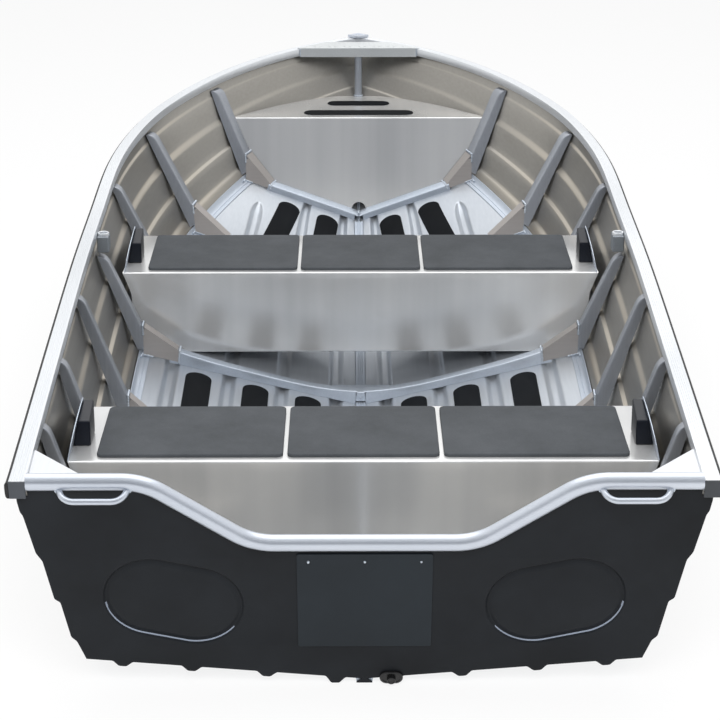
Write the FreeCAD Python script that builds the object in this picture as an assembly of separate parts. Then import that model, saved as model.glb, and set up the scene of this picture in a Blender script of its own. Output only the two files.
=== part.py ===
import FreeCAD, Part
import math
import os

os.makedirs("parts", exist_ok=True)
V = FreeCAD.Vector

# Hull shape: transom foot at y = 0, bow towards +Y, floor at z = 0, all in mm
HULL_LENGTH = 3512.0
HALF_BEAM = 760.0
SHEER_HEIGHT = 526.0
HULL_FLARE = 132.0
CHINE_HALF_BEAM = HALF_BEAM - HULL_FLARE
KEEL_DEPTH = 13.0
TRANSOM_RAKE_share = 0.25
SHEET = 2.0
GAP = 0.3
STEM_HALF = 4.0

# Lines of the hull at each station, as shares of the sizes above
SHEER_along_shares = [0.0, 0.114, 0.256, 0.399, 0.527, 0.635, 0.726, 0.797, 0.860, 0.911, 0.960, 1.0]
SHEER_out_shares = [0.929, 0.955, 0.977, 0.995, 1.0, 0.994, 0.943, 0.854, 0.713, 0.551, 0.329, 0.0]
SHEER_up_shares = [1.0, 0.995, 0.998, 1.006, 1.027, 1.066, 1.108, 1.147, 1.193, 1.232, 1.268, 1.304]
CHINE_along_shares = [0.0, 0.114, 0.256, 0.399, 0.527, 0.627, 0.717, 0.789, 0.850, 0.897, 0.937, 0.961]
CHINE_out_shares = [0.938, 0.960, 0.980, 0.990, 0.982, 0.948, 0.868, 0.748, 0.608, 0.454, 0.247, 0.0]
CHINE_up_shares = [0.131, 0.153, 0.203, 0.280, 0.347, 0.398, 0.449, 0.513, 0.580, 0.656, 0.751, 0.856]
KEEL_along_shares = [0.0, 0.114, 0.256, 0.399, 0.527, 0.627, 0.712, 0.780, 0.837, 0.874, 0.903, 0.925]
KEEL_up_shares = [0.0, 0.0, 0.0, 0.0, 0.003, 0.021, 0.079, 0.165, 0.269, 0.355, 0.440, 0.545]

# Pressed strakes of the bottom and steps of the side
STRAKE_place_shares = [
    [0.098, 0.0995, 0.104, 0.108, 0.108, 0.110, 0.114, 0.119, 0.126, 0.140, 0.160, 0.180],
    [0.348, 0.348, 0.352, 0.355, 0.355, 0.363, 0.378, 0.404, 0.450, 0.460, 0.460, 0.460],
    [0.620, 0.610, 0.603, 0.596, 0.599, 0.622, 0.672, 0.735, 0.830, 0.850, 0.850, 0.850],
    [0.869, 0.866, 0.859, 0.855, 0.855, 0.865, 0.880, 0.905, 0.930, 0.930, 0.930, 0.930],
]
STRAKE_depth_shares = [
    [1.0, 1.0, 1.0, 1.0, 1.0, 1.0, 1.0, 0.97, 0.80, 0.50, 0.25, 0.10],
    [1.0, 1.0, 1.0, 1.0, 1.0, 1.0, 1.0, 0.97, 0.80, 0.50, 0.25, 0.10],
    [1.0, 1.0, 1.0, 1.0, 1.0, 1.0, 1.0, 0.92, 0.04, 0.03, 0.03, 0.03],
    [1.0, 1.0, 1.0, 1.0, 0.90, 0.50, 0.12, 0.03, 0.03, 0.03, 0.03, 0.03],
]
STRAKE_width_shares = [1.0, 1.0, 1.0, 1.0, 1.0, 1.0, 1.0, 0.90, 0.70, 0.50, 0.35, 0.20]
STRAKE_HALF_BASE = 21.0
STRAKE_HALF_TIP = 8.0
STRAKE_DEPTH = 13.0
INNER_STRAKE_DEPTH = 18.0
STEP_least_share = 0.12
STEP_fade_share = 0.8
STEP_OUT = 14.0
STEP_up_shares = [0.107, 0.136, 0.335, 0.357, 0.569, 0.617, 0.821, 0.84]
STEP_out_shares = [0.3, 0.9, 0.3, 1.0, 0.36, 0.84, 0.39, 0.6]

# Keel and stem extrusions
KEEL_HALF_FOOT = 17.0
KEEL_HALF_BODY = 18.0
KEEL_HALF_RIDGE = 14.0
KEEL_RIDGE = 4.0
KEEL_SPLIT_STATION = 8
KEEL_rise_share = 0.7
STEM_HALF_FACE = 10.0
WEB_HALF = 2.2
STEM_OUT = 7.0
STEM_SEAT = 1.3
STEM_IN = 8.0

# Chine strip
CHINE_STRIP = 2.5
CHINE_FLOOR_FLANGE = 26.0
CHINE_SIDE_FLANGE = 18.0
CHINE_STRIP_end_share = 0.897
CHINE_SEAT = 0.9

# Gunwale extrusion and rubber rail
GUNWALE_WIDTH = 33.0
GUNWALE_TOP = 4.0
GUNWALE_WALL = 3.3
GUNWALE_DEPTH = 36.0
GUNWALE_LIP_DEPTH = 22.0
GUNWALE_OVERHANG = 16.0
EDGE_GAP = 1.5
END_CAP = 5.0
RAIL_OUT = 8.0
RAIL_TOP_DROP = 5.0
RAIL_CHAMFER = 4.0

# Transom
TRANSOM_PLATE = 4.0
CAP_TUBE_RADIUS = 17.5
CAP_TUBE_WALL = 2.5
NOTCH_HEIGHT = 371.0
CAP_SHOULDER_DROP = 3.0
CAP_SHOULDER_LENGTH = 232.0
NOTCH_HALF_FLAT = 230.0
CAP_BEND = 140.0
PRESSING_LENGTH = 300.0
PRESSING_WIDTH = 212.0
PRESSING_BEAD = 11.0
PRESSING_DEPTH = 2.4
PRESSING_INSET = 192.0
PRESSING_UP = 228.0
PRESSING_TILT = 14.0
PAD_HALF_WIDTH = 140.0
PAD_DROP = 25.0
PAD_FOOT = 104.0
OUTER_PAD = 3.0
INNER_PAD = 22.0
KNEE_PLATE = 6.0
KNEE_LENGTH = 210.0
KNEE_HEIGHT = 170.0
CORNER_KNEE_ALONG = 150.0
CORNER_KNEE_ACROSS = 120.0
CORNER_KNEE_PLATE = 3.0
HANDLE_BAR_RADIUS = 6.5
HANDLE_INSET = 134.0
HANDLE_HALF_LENGTH = 68.0
HANDLE_DROP = 29.0
HANDLE_REACH = 15.0
HANDLE_BEND = 30.0
PLUG_OUT = 57.0
PLUG_UP = 19.0
PLUG_HALF_WIDTH = 25.0
PLUG_HALF_HEIGHT = 16.0
PLUG_FLANGE = 6.0
PLUG_KNOB_RADIUS = 10.0
PLUG_KNOB = 10.0

# Transverse frames and side ribs
FRAME_WIDTH = 32.0
RIB_TOP_DEPTH = 22.0
RIB_FOOT_DEPTH = 40.0
RIB_WALL = 3.0
RIB_FOOT_LIFT = 20.0
RIB_TOP_DROP = 36.0
CORE_PAST_END = 2.0
RIB_LEAN_share = 0.29
RIB_LEAN_START = 1700.0
ARM_HEIGHT = 20.0
ARM_WALL = 3.0
ARM_end_share = 0.84
ARM_lift_shares = [0.95, 0.42, 0.16, 0.10, 0.16, 0.24, 0.36, 0.60, 1.0]
ARM_LIFT = 20.0
GUSSET_RISE_share = 0.27
GUSSET_reach_share = 0.80
GUSSET_PLATE = 3.0
FRAME_station_shares = {"frame_1": 0.847, "frame_2": 0.729, "frame_4": 0.459, "frame_5": 0.3275,
                        "frame_7": 0.0763}
RIB_THWART_GAP = 14.0
STEP_PLATE_HALF_WIDTH = 82.0
STEP_PLATE_LENGTH = 70.0
STEP_PLATE = 3.0

# Thwarts
THWART_TOP = 380.0
THWART_SHEET = 2.0
THWART_AFT_SETBACK = 29.0
THWART_FORWARD_SETBACK = 65.0
THWART_DEPTH_AFT = 340.0
THWART_DEPTH_FORWARD = 370.0
THWART_SIDE_GAP = 26.0
THWART_FOOT_INSET = 131.0
THWART_LIP = 15.0
THWART_KNUCKLE = 208.0
SEAT_PAD = 8.0
SEAT_PAD_BRACKET_GAP = 24.0
SEAT_PAD_SPLIT = 175.0
SEAT_PAD_SPACING = 10.0
SEAT_PAD_EDGE = 22.0
SEAT_PAD_CORNER = 12.0
BRACKET_SETBACK = 90.0
BRACKET_WIDTH = 40.0
BRACKET_LENGTH = 88.0
BRACKET_FRONT = 60.0
BRACKET_BACK = 80.0
BRACKET_PLATE = 4.0
BRACKET_FLANGE = 60.0
BRACKET_lean_share = 0.2
BRACKET_shoulder_shares = [0.35, 0.72]

# Bow: seat, post, breasthook, cap and eye
BOW_SEAT_DROP = 24.0
BOW_SEAT_SETBACK = 1.0
BOW_SEAT_SHEET = 2.0
BOW_SEAT_SIDE_GAP = 8.0
BOW_SEAT_FLOOR_GAP = 3.5
BOW_SEAT_APEX_CUT = 29.0
LIMBER_RADIUS = 24.0
BOW_STRIP = 3.0
BOW_STRIP_WIDTH = 62.0
BOW_STRIP_HALVES = [188.0, 108.0]
BOW_STRIP_SETBACK = 38.0
BOW_STRIP_SPACING = 140.0
POST_RADIUS = 13.0
POST_WALL = 2.5
POST_SETBACK = 126.0
HOOK_LENGTH = 142.0
HOOK_PLATE = 3.0
HOOK_FOLD = 32.0
HOOK_end_share = 0.45
NOSE_HALF_WIDTH = 37.0
NOSE_LENGTH = 62.0
NOSE_PLATE = 9.0
NOSE_OVERHANG = 10.0
EYE_HEIGHT = 330.0
EYE_BAR_RADIUS = 5.0
EYE_HALF_HEIGHT = 26.0
EYE_REACH = 34.0

# Rowlock sockets
ROWLOCK_RADIUS = 16.0
ROWLOCK_BORE = 6.6
ROWLOCK_HEIGHT = 52.0
ROWLOCK_BLOCK = 24.0
ROWLOCK_BLOCK_DEPTH = 34.0
ROWLOCK_STAND = -13.0

# Floor strips between the strakes
FLOOR_STRIP = 5.0
FLOOR_STRIP_WIDTH = 72.0
FLOOR_STRIP_AFT_GAP = 12.0
FLOOR_STRIP_FORE_GAP = 36.0
FORWARD_STRIP_shares = [0.255, 0.565]
AFT_STRIP_shares = [0.236, 0.473, 0.73]

LAST = len(SHEER_along_shares) - 1
STATIONS = range(LAST + 1)

# Places worked out from the sizes above
FRAME_STATIONS = {name: share * HULL_LENGTH for name, share in FRAME_station_shares.items()}
THWARTS = {
    "aft": (FRAME_STATIONS["frame_7"] + FRAME_WIDTH / 2 + THWART_AFT_SETBACK, THWART_DEPTH_AFT),
    "forward": (FRAME_STATIONS["frame_4"] + FRAME_WIDTH / 2 + THWART_FORWARD_SETBACK, THWART_DEPTH_FORWARD),
}
RIB_STATIONS = {
    "rib_pair_6": sum(THWARTS["aft"]) + RIB_THWART_GAP + FRAME_WIDTH / 2,
    "rib_pair_3": sum(THWARTS["forward"]) + RIB_THWART_GAP + FRAME_WIDTH / 2,
}
BOW_SEAT_AFT = FRAME_STATIONS["frame_1"] + FRAME_WIDTH / 2 + BOW_SEAT_SETBACK
HOOK_AFT = HULL_LENGTH - HOOK_LENGTH
CAP_SHOULDER_HEIGHT = SHEER_HEIGHT - CAP_SHOULDER_DROP
PAD_TOP = NOTCH_HEIGHT - PAD_DROP
BOW_SEAT_TOP = SHEER_HEIGHT - BOW_SEAT_DROP
THWART_HALF_FOOT = CHINE_HALF_BEAM - THWART_FOOT_INSET


def on_transom(point, aft=0.0):
    return V(point.x, -TRANSOM_RAKE_share * point.z - aft, point.z)


def anchor_rows():
    keel, chine, sheer = [], [], []
    for k in STATIONS:
        lift = KEEL_DEPTH + GAP
        rise = SHEER_HEIGHT
        keel.append(V(STEM_HALF, KEEL_along_shares[k] * HULL_LENGTH, lift + KEEL_up_shares[k] * rise))
        chine.append(V(max(CHINE_out_shares[k] * CHINE_HALF_BEAM, STEM_HALF),
                       CHINE_along_shares[k] * HULL_LENGTH, CHINE_up_shares[k] * rise))
        sheer.append(V(max(SHEER_out_shares[k] * HALF_BEAM, STEM_HALF),
                       SHEER_along_shares[k] * HULL_LENGTH, SHEER_up_shares[k] * rise - GAP))
    for row in (keel, chine, sheer):
        row[0] = on_transom(row[0])
    return keel, chine, sheer


def smooth(points):
    curve = Part.BSplineCurve()
    curve.interpolate(Points=points, Parameters=[float(i) for i in range(len(points))])
    return curve


KEEL_ROW, CHINE_ROW, SHEER_ROW = anchor_rows()
KEEL_LINE, CHINE_LINE, SHEER_LINE = smooth(KEEL_ROW), smooth(CHINE_ROW), smooth(SHEER_ROW)
PANELS = {"bottom": (KEEL_LINE, CHINE_LINE), "side": (CHINE_LINE, SHEER_LINE)}


def slope_of(curve, u):
    step = 0.02
    low, high = max(0.0, u - step), min(float(LAST), u + step)
    return (curve.value(high) - curve.value(low)) * (1.0 / (high - low))


def panel_point(panel, share, u):
    low, high = PANELS[panel]
    return low.value(u) * (1.0 - share) + high.value(u) * share


def panel_normal(panel, share, u):
    low, high = PANELS[panel]
    along = slope_of(low, u) * (1.0 - share) + slope_of(high, u) * share
    across = high.value(u) - low.value(u)
    normal = along.cross(across)
    if u >= LAST:
        normal = V(0, across.z, -across.y)
    normal.normalize()
    return normal


def panel_at(panel, share, y, lift=0.0):
    low, high = 0.0, float(LAST)
    for _ in range(40):
        middle = (low + high) / 2
        if panel_point(panel, share, middle).y < y:
            low = middle
        else:
            high = middle
    point = panel_point(panel, share, middle) - panel_normal(panel, share, middle) * lift
    return V(point.x, y, point.z)


def line_at(curve, y):
    low, high = 0.0, float(LAST)
    for _ in range(40):
        middle = (low + high) / 2
        if curve.value(middle).y < y:
            low = middle
        else:
            high = middle
    return curve.value(middle)


def side_at(y, z, lift=0.0):
    low, high = 0.0, 1.0
    for _ in range(30):
        middle = (low + high) / 2
        if panel_at("side", middle, y).z < z:
            low = middle
        else:
            high = middle
    return panel_at("side", middle, y, lift)


def bottom_at(y, x, lift=0.0):
    low, high = 0.0, 1.0
    for _ in range(30):
        middle = (low + high) / 2
        if panel_at("bottom", middle, y).x < x:
            low = middle
        else:
            high = middle
    return panel_at("bottom", middle, y, lift)


def solid_of(faces):
    shell = Part.makeShell(faces)
    shell.sewShape()
    solid = Part.makeSolid(Part.Shell(shell.Faces))
    if solid.Volume < 0:
        solid.reverse()
    return solid


def rail_solid(rails, stop=None):
    edges, rings = [], [[], []]
    for rail in rails:
        if len(rail) > 2:
            curve = smooth(rail)
            last = float(len(rail) - 1) if stop is None else float(stop)
            edges.append(curve.toShape(0.0, last))
            rings[1].append(curve.value(last))
        else:
            edges.append(Part.makeLine(rail[0], rail[-1]))
            rings[1].append(rail[-1])
        rings[0].append(rail[0])
    faces = []
    for a, b in zip(edges, edges[1:] + edges[:1]):
        faces.append(Part.makeRuledSurface(a, b))
    for ring in rings:
        faces.append(Part.Face(Part.makePolygon(ring + ring[:1])))
    return solid_of(faces)


def prism(points, reach):
    return Part.Face(Part.makePolygon(points + points[:1])).extrude(reach)


def box(x0, x1, y0, y1, z0, z1):
    return Part.makeBox(x1 - x0, y1 - y0, z1 - z0, V(x0, y0, z0))


def mirrored(shape):
    return shape.mirror(V(0, 0, 0), V(1, 0, 0))


def both(shape):
    return Part.makeCompound([shape, mirrored(shape)])


def joined(shapes):
    result = shapes[0]
    for shape in shapes[1:]:
        result = result.fuse(shape)
    return result.removeSplitter()


# Pressed hull sheets
def bottom_profile(k):
    width = (CHINE_ROW[k] - KEEL_ROW[k]).Length
    profile = [(0.0, 0.0)]
    for number, (places, depths) in enumerate(zip(STRAKE_place_shares, STRAKE_depth_shares)):
        place = places[k]
        depth = (INNER_STRAKE_DEPTH if number == 0 else STRAKE_DEPTH) * depths[k]
        base = STRAKE_HALF_BASE * STRAKE_width_shares[k] / width
        tip = STRAKE_HALF_TIP * STRAKE_width_shares[k] / width
        profile += [(place - base, 0.0), (place - tip, depth), (place + tip, depth), (place + base, 0.0)]
    return profile + [(1.0, 0.0)]


def side_profile(k):
    size = max((CHINE_ROW[k].x / CHINE_HALF_BEAM) ** STEP_fade_share, STEP_least_share)
    steps = [(up, out * STEP_OUT * size) for up, out in zip(STEP_up_shares, STEP_out_shares)]
    foot = (SHEET + 2 * GAP) / (SHEER_ROW[k] - CHINE_ROW[k]).Length
    return [(foot, 0.0)] + steps + [(1.0, 0.0)]


def skin_point(panel, share, u, out):
    point = panel_point(panel, share, u) + panel_normal(panel, share, u) * out
    if u <= 0:
        point = on_transom(point)
    if u >= LAST:
        point.x = STEM_HALF
    return point


def hull_sheet(panel, profile_of):
    profiles = [profile_of(k) for k in STATIONS]
    count = len(profiles[0])
    outer = [[skin_point(panel, profiles[k][i][0], float(k), profiles[k][i][1]) for k in STATIONS]
             for i in range(count)]
    inner = [[skin_point(panel, profiles[k][i][0], float(k), profiles[k][i][1] - SHEET) for k in STATIONS]
             for i in range(count)]
    return rail_solid(outer + inner[::-1])


def bottom_sheet():
    return hull_sheet("bottom", bottom_profile)


def side_sheet():
    return hull_sheet("side", side_profile)


# Keel extrusion: foot below, web between the sheets, ridge inside
def keel():
    rails = []
    for k in STATIONS:
        across = CHINE_ROW[k] - KEEL_ROW[k]
        rise = min(across.z / max(across.x, GAP), KEEL_rise_share)
        top = KEEL_ROW[k].z
        web = WEB_HALF
        ridge_foot = top + rise * (KEEL_HALF_RIDGE - web) + SHEET + 4 * GAP
        half = [(KEEL_HALF_FOOT, top - KEEL_DEPTH - GAP), (KEEL_HALF_BODY, top - GAP - KEEL_RIDGE),
                (KEEL_HALF_BODY - KEEL_RIDGE, top - GAP), (web, top - GAP), (web, top + SHEET + 2 * GAP),
                (KEEL_HALF_RIDGE, ridge_foot), (KEEL_HALF_RIDGE - GAP, ridge_foot + KEEL_RIDGE)]
        ring = half + [(-x, z) for x, z in half[::-1]]
        y = KEEL_ROW[k].y
        row = [V(x, y, z) for x, z in ring]
        if k == 0:
            row = [on_transom(p) for p in row]
        rails.append(row)
    return rail_solid([list(rail) for rail in zip(*rails)], KEEL_SPLIT_STATION)


def stem_rows():
    path = [KEEL_ROW[k] for k in range(KEEL_SPLIT_STATION, LAST + 1)]
    path += [CHINE_ROW[LAST], SHEER_ROW[LAST]]
    rows = []
    for i, point in enumerate(path):
        before = path[max(i - 1, 0)]
        after = path[min(i + 1, len(path) - 1)]
        along = V(0, after.y - before.y, after.z - before.z)
        along.normalize()
        out = V(0, along.z, -along.y)
        centre = V(0, point.y, point.z)
        web = WEB_HALF
        face = STEM_HALF_FACE
        seat, nose = STEM_SEAT, STEM_SEAT + STEM_OUT
        ring = [(web, -STEM_IN), (web, seat), (face, seat + STEM_OUT / 2), (web, nose),
                (-web, nose), (-face, seat + STEM_OUT / 2), (-web, seat), (-web, -STEM_IN)]
        rows.append([centre + out * o + V(x, 0, 0) for x, o in ring])
    return rows


def stem():
    rows = stem_rows()
    floor_y = KEEL_ROW[KEEL_SPLIT_STATION].y + GAP
    rows[0] = [V(p.x, floor_y, p.z) for p in rows[0]]
    top = SHEER_ROW[LAST].z - GUNWALE_DEPTH
    rows[-1] = [V(p.x, p.y, top) for p in rows[-1]]
    return rail_solid([list(rail) for rail in zip(*rows)])


# Chine strip inside the corner of bottom and side
def chine_strip():
    rows = []
    for k in STATIONS:
        corner = CHINE_ROW[k]
        nb = panel_normal("bottom", 1.0, float(k))
        ns = panel_normal("side", 0.0, float(k))
        cb = KEEL_ROW[k] - corner
        cb.normalize()
        cs = SHEER_ROW[k] - corner
        cs.normalize()
        m = (nb + ns) * (1.0 / (1.0 + nb.dot(ns)))
        low = SHEET + CHINE_SEAT
        high = low + CHINE_STRIP
        row = [corner - m * low, corner - nb * low + cb * CHINE_FLOOR_FLANGE,
               corner - nb * high + cb * CHINE_FLOOR_FLANGE, corner - m * high,
               corner - ns * high + cs * CHINE_SIDE_FLANGE, corner - ns * low + cs * CHINE_SIDE_FLANGE]
        if k == 0:
            row = [on_transom(p) for p in row]
        if k == LAST:
            row = [V(STEM_HALF, p.y, p.z) for p in row]
        rows.append(row)
    strip = rail_solid([list(rail) for rail in zip(*rows)])
    end = CHINE_STRIP_end_share * HULL_LENGTH
    return strip.cut(box(0, HALF_BEAM, end, HULL_LENGTH, 0, 2 * SHEER_HEIGHT))


# Gunwale, rubber rail and end caps share one offset curve. Each gunwale is two lengths, butted at the rowlock
def edge_row(out, up, aft=GUNWALE_OVERHANG, meet=GAP / 2):
    row = []
    for k in STATIONS:
        along = slope_of(SHEER_LINE, float(k))
        plan = V(along.x, along.y, 0)
        plan.normalize()
        normal = V(plan.y, -plan.x, 0)
        point = SHEER_ROW[k] + normal * out + V(0, 0, up + EDGE_GAP)
        if k == 0:
            point = on_transom(point, aft)
        if k == LAST:
            point = point + plan * ((meet - point.x) / plan.x)
        row.append(point)
    return row


def gunwale():
    outer = GAP + GUNWALE_WALL
    inner = outer - GUNWALE_WIDTH
    ring = [(outer, GUNWALE_TOP), (outer, -GUNWALE_DEPTH), (GAP, -GUNWALE_DEPTH), (GAP, 0.0),
            (inner + GUNWALE_WALL, 0.0), (inner + GUNWALE_WALL, -GUNWALE_LIP_DEPTH),
            (inner, -GUNWALE_LIP_DEPTH), (inner, GUNWALE_TOP)]
    whole = rail_solid([edge_row(out, up) for out, up in ring])
    reach = V(0, FRAME_STATIONS["frame_4"], 0)
    aft = box(0, 2 * HALF_BEAM, -HULL_LENGTH, reach.y, 0, 2 * SHEER_HEIGHT)
    fore = box(0, 2 * HALF_BEAM, reach.y, 2 * HULL_LENGTH, 0, 2 * SHEER_HEIGHT)
    return Part.makeCompound([whole.common(aft), whole.common(fore)])


def rub_rail():
    seat = 2 * GAP + GUNWALE_WALL
    top = GUNWALE_TOP - RAIL_TOP_DROP
    foot = -GUNWALE_DEPTH
    soft = RAIL_CHAMFER
    ring = [(seat, foot), (seat, top), (seat + RAIL_OUT - soft, top), (seat + RAIL_OUT, top - 2 * soft),
            (seat + RAIL_OUT, foot + 2 * soft), (seat + RAIL_OUT - soft, foot)]
    return rail_solid([edge_row(out, up) for out, up in ring])


def end_cap():
    outer = 2 * GAP + GUNWALE_WALL + RAIL_OUT
    inner = GAP + GUNWALE_WALL - GUNWALE_WIDTH
    ring = [(outer - RAIL_CHAMFER, GUNWALE_TOP), (outer, GUNWALE_TOP - 2 * RAIL_CHAMFER),
            (outer, -GUNWALE_DEPTH + 2 * RAIL_CHAMFER), (outer - RAIL_CHAMFER, -GUNWALE_DEPTH),
            (inner, -GUNWALE_DEPTH), (inner, GUNWALE_TOP)]
    aft = GUNWALE_OVERHANG + GAP
    points = [edge_row(out, up, aft)[0] for out, up in ring]
    return prism(points, V(0, -END_CAP, 0))


# Transom plate with its pressings, cap tube, pads and knees
def transom_outline():
    low = [skin_point("bottom", s, 0.0, d) for s, d in bottom_profile(0)]
    high = [skin_point("side", s, 0.0, d) for s, d in side_profile(0)]
    half = low + high[1:-1]
    return half


def cap_end():
    return SHEER_ROW[0].x + GAP - GUNWALE_WIDTH + GUNWALE_WALL


def cap_path():
    end = cap_end()
    half = [(NOTCH_HALF_FLAT, NOTCH_HEIGHT), (end - CAP_SHOULDER_LENGTH, CAP_SHOULDER_HEIGHT)]
    points = [(-end, CAP_SHOULDER_HEIGHT)] + [(-x, z) for x, z in half[::-1]] + half
    points += [(end, CAP_SHOULDER_HEIGHT)]
    return [on_transom(V(x, 0, z), TRANSOM_PLATE / 2 + GAP) for x, z in points]


def filleted_wire(points, radius):
    edges = []
    start = points[0]
    for before, corner, after in zip(points, points[1:], points[2:]):
        a = before - corner
        b = after - corner
        a.normalize()
        b.normalize()
        angle = a.getAngle(b) / 2
        run = radius / math.tan(angle)
        middle = a + b
        middle.normalize()
        centre = corner + middle * (radius / math.sin(angle))
        top = centre - middle * radius
        one, two = corner + a * run, corner + b * run
        edges.append(Part.makeLine(start, one))
        edges.append(Part.Arc(one, top, two).toShape())
        start = two
    edges.append(Part.makeLine(start, points[-1]))
    return Part.Wire(edges)


def swept_bar(wire, radius):
    first = wire.Edges[0]
    start = first.valueAt(first.FirstParameter)
    along = first.tangentAt(first.FirstParameter)
    circle = Part.Wire([Part.Circle(start, along, radius).toShape()])
    return wire.makePipeShell([circle], True, False)


def cap_tube():
    wire = filleted_wire(cap_path(), CAP_BEND)
    return swept_bar(wire, CAP_TUBE_RADIUS).cut(swept_bar(wire, CAP_TUBE_RADIUS - CAP_TUBE_WALL))


def stadium(length, width, depth):
    half = (length - width) / 2
    r = width / 2
    a, b = V(-half, 0, -r), V(half, 0, -r)
    c, d = V(half, 0, r), V(-half, 0, r)
    edges = [Part.makeLine(a, b), Part.Arc(b, V(half + r, 0, 0), c).toShape(), Part.makeLine(c, d),
             Part.Arc(d, V(-half - r, 0, 0), a).toShape()]
    return Part.Face(Part.Wire(edges)).extrude(V(0, depth, 0))


def leaned(shape):
    copy = shape.copy()
    copy.rotate(V(0, 0, 0), V(1, 0, 0), math.degrees(math.atan(TRANSOM_RAKE_share)))
    return copy


def slant(z):
    return z * math.sqrt(1 + TRANSOM_RAKE_share ** 2)


def pressing(side, grow, face):
    panel = stadium(PRESSING_LENGTH + grow, PRESSING_WIDTH + grow, PRESSING_DEPTH)
    panel.rotate(V(0, 0, 0), V(0, 1, 0), -side * PRESSING_TILT)
    panel.translate(V(side * (CHINE_ROW[0].x - PRESSING_INSET), face, slant(PRESSING_UP)))
    return leaned(panel)


def transom_plate():
    half = transom_outline()
    top = CAP_SHOULDER_HEIGHT
    ring = half + [on_transom(V(half[-1].x, 0, top)), on_transom(V(-half[-1].x, 0, top))]
    ring += [V(-p.x, p.y, p.z) for p in half[::-1]]
    ring = [V(p.x, p.y - GAP, p.z) for p in ring]
    normal_run = math.sqrt(1 + TRANSOM_RAKE_share ** 2)
    plate = prism(ring, V(0, -TRANSOM_PLATE * normal_run, 0))
    wire = filleted_wire(cap_path(), CAP_BEND)
    plate = plate.cut(swept_bar(wire, CAP_TUBE_RADIUS + GAP))
    cutter_points = [V(e.x, TRANSOM_PLATE * 4, e.z) for e in wire.discretize(80)]
    lid = SHEER_HEIGHT * 2
    cutter_points += [V(HALF_BEAM, TRANSOM_PLATE * 4, cutter_points[-1].z), V(HALF_BEAM, TRANSOM_PLATE * 4, lid),
                      V(-HALF_BEAM, TRANSOM_PLATE * 4, lid), V(-HALF_BEAM, TRANSOM_PLATE * 4, cutter_points[0].z)]
    plate = plate.cut(prism(cutter_points, V(0, -HALF_BEAM, 0)))
    inner = SHEER_ROW[0].x + GUNWALE_WALL - GUNWALE_WIDTH
    under = SHEER_ROW[0].z - GUNWALE_DEPTH
    for side in (-1, 1):
        plate = plate.cut(pressing(side, PRESSING_BEAD, -TRANSOM_PLATE - GAP))
        plate = plate.fuse(pressing(side, -PRESSING_BEAD, -GAP))
        x0, x1 = sorted((side * inner, side * HALF_BEAM))
        plate = plate.cut(box(x0, x1, -HALF_BEAM, HALF_BEAM, under, SHEER_HEIGHT * 2))
    return plate


def transom_pad(face, thick):
    return leaned(box(-PAD_HALF_WIDTH, PAD_HALF_WIDTH, face - thick, face, slant(PAD_FOOT), slant(PAD_TOP)))


def outer_pad():
    return transom_pad(-TRANSOM_PLATE - GAP, OUTER_PAD)


def inner_pad():
    return transom_pad(INNER_PAD, INNER_PAD)


def transom_knee():
    foot = KEEL_DEPTH + SHEET + KEEL_RIDGE + 3 * GAP
    back = INNER_PAD * math.sqrt(1 + TRANSOM_RAKE_share ** 2) + GAP
    top = PAD_TOP - KNEE_PLATE
    face = lambda z: -TRANSOM_RAKE_share * z + back
    bottom = foot + KEEL_RIDGE
    points = [V(-KNEE_PLATE / 2, face(bottom), bottom), V(-KNEE_PLATE / 2, face(bottom) + KNEE_LENGTH, bottom),
              V(-KNEE_PLATE / 2, face(bottom) + KNEE_LENGTH, bottom + KEEL_HALF_FOOT),
              V(-KNEE_PLATE / 2, face(top) + KEEL_HALF_FOOT, top), V(-KNEE_PLATE / 2, face(top), top)]
    return prism(points, V(KNEE_PLATE, 0, 0))


def corner_knee():
    rail = edge_curve(GUNWALE_WALL - GUNWALE_WIDTH - GAP, GUNWALE_TOP)
    z = CAP_SHOULDER_HEIGHT - CORNER_KNEE_PLATE
    back = on_transom(V(0, 0, z)).y + CAP_TUBE_RADIUS
    aft = rail.value(curve_param(rail, back))
    fore = rail.value(curve_param(rail, back + CORNER_KNEE_ALONG))
    points = [V(aft.x, back, z), V(fore.x, fore.y, z), V(aft.x - CORNER_KNEE_ACROSS, back, z)]
    return prism(points, V(0, 0, CORNER_KNEE_PLATE))


def handle():
    centre = on_transom(V(0, 0, CAP_SHOULDER_HEIGHT), TRANSOM_PLATE / 2 + GAP)
    root = centre - V(0, HANDLE_BAR_RADIUS, HANDLE_BAR_RADIUS)
    reach = centre - V(0, CAP_TUBE_RADIUS + HANDLE_REACH, HANDLE_DROP)
    middle = cap_end() - HANDLE_INSET
    x0, x1 = middle - HANDLE_HALF_LENGTH, middle + HANDLE_HALF_LENGTH
    points = [V(x0, root.y, root.z), V(x0, reach.y, reach.z), V(x1, reach.y, reach.z), V(x1, root.y, root.z)]
    bar = swept_bar(filleted_wire(points, HANDLE_BEND), HANDLE_BAR_RADIUS)
    wire = filleted_wire(cap_path(), CAP_BEND)
    return bar.cut(swept_bar(wire, CAP_TUBE_RADIUS + GAP))


def drain_plug():
    flange = stadium(2 * PLUG_HALF_WIDTH, 2 * PLUG_HALF_HEIGHT, PLUG_FLANGE)
    knob = Part.makeCylinder(PLUG_KNOB_RADIUS, PLUG_KNOB, V(0, 0, 0), V(0, -1, 0))
    plug = flange.fuse(knob)
    plug.translate(V(PLUG_OUT, -TRANSOM_PLATE - PLUG_FLANGE - 2 * GAP, slant(PLUG_UP)))
    return leaned(plug)


# Side ribs and transverse frames
def slab(points_at, y0, y1):
    first, last = points_at(y0), points_at(y1)
    return rail_solid([[a, b] for a, b in zip(first, last)])


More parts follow.
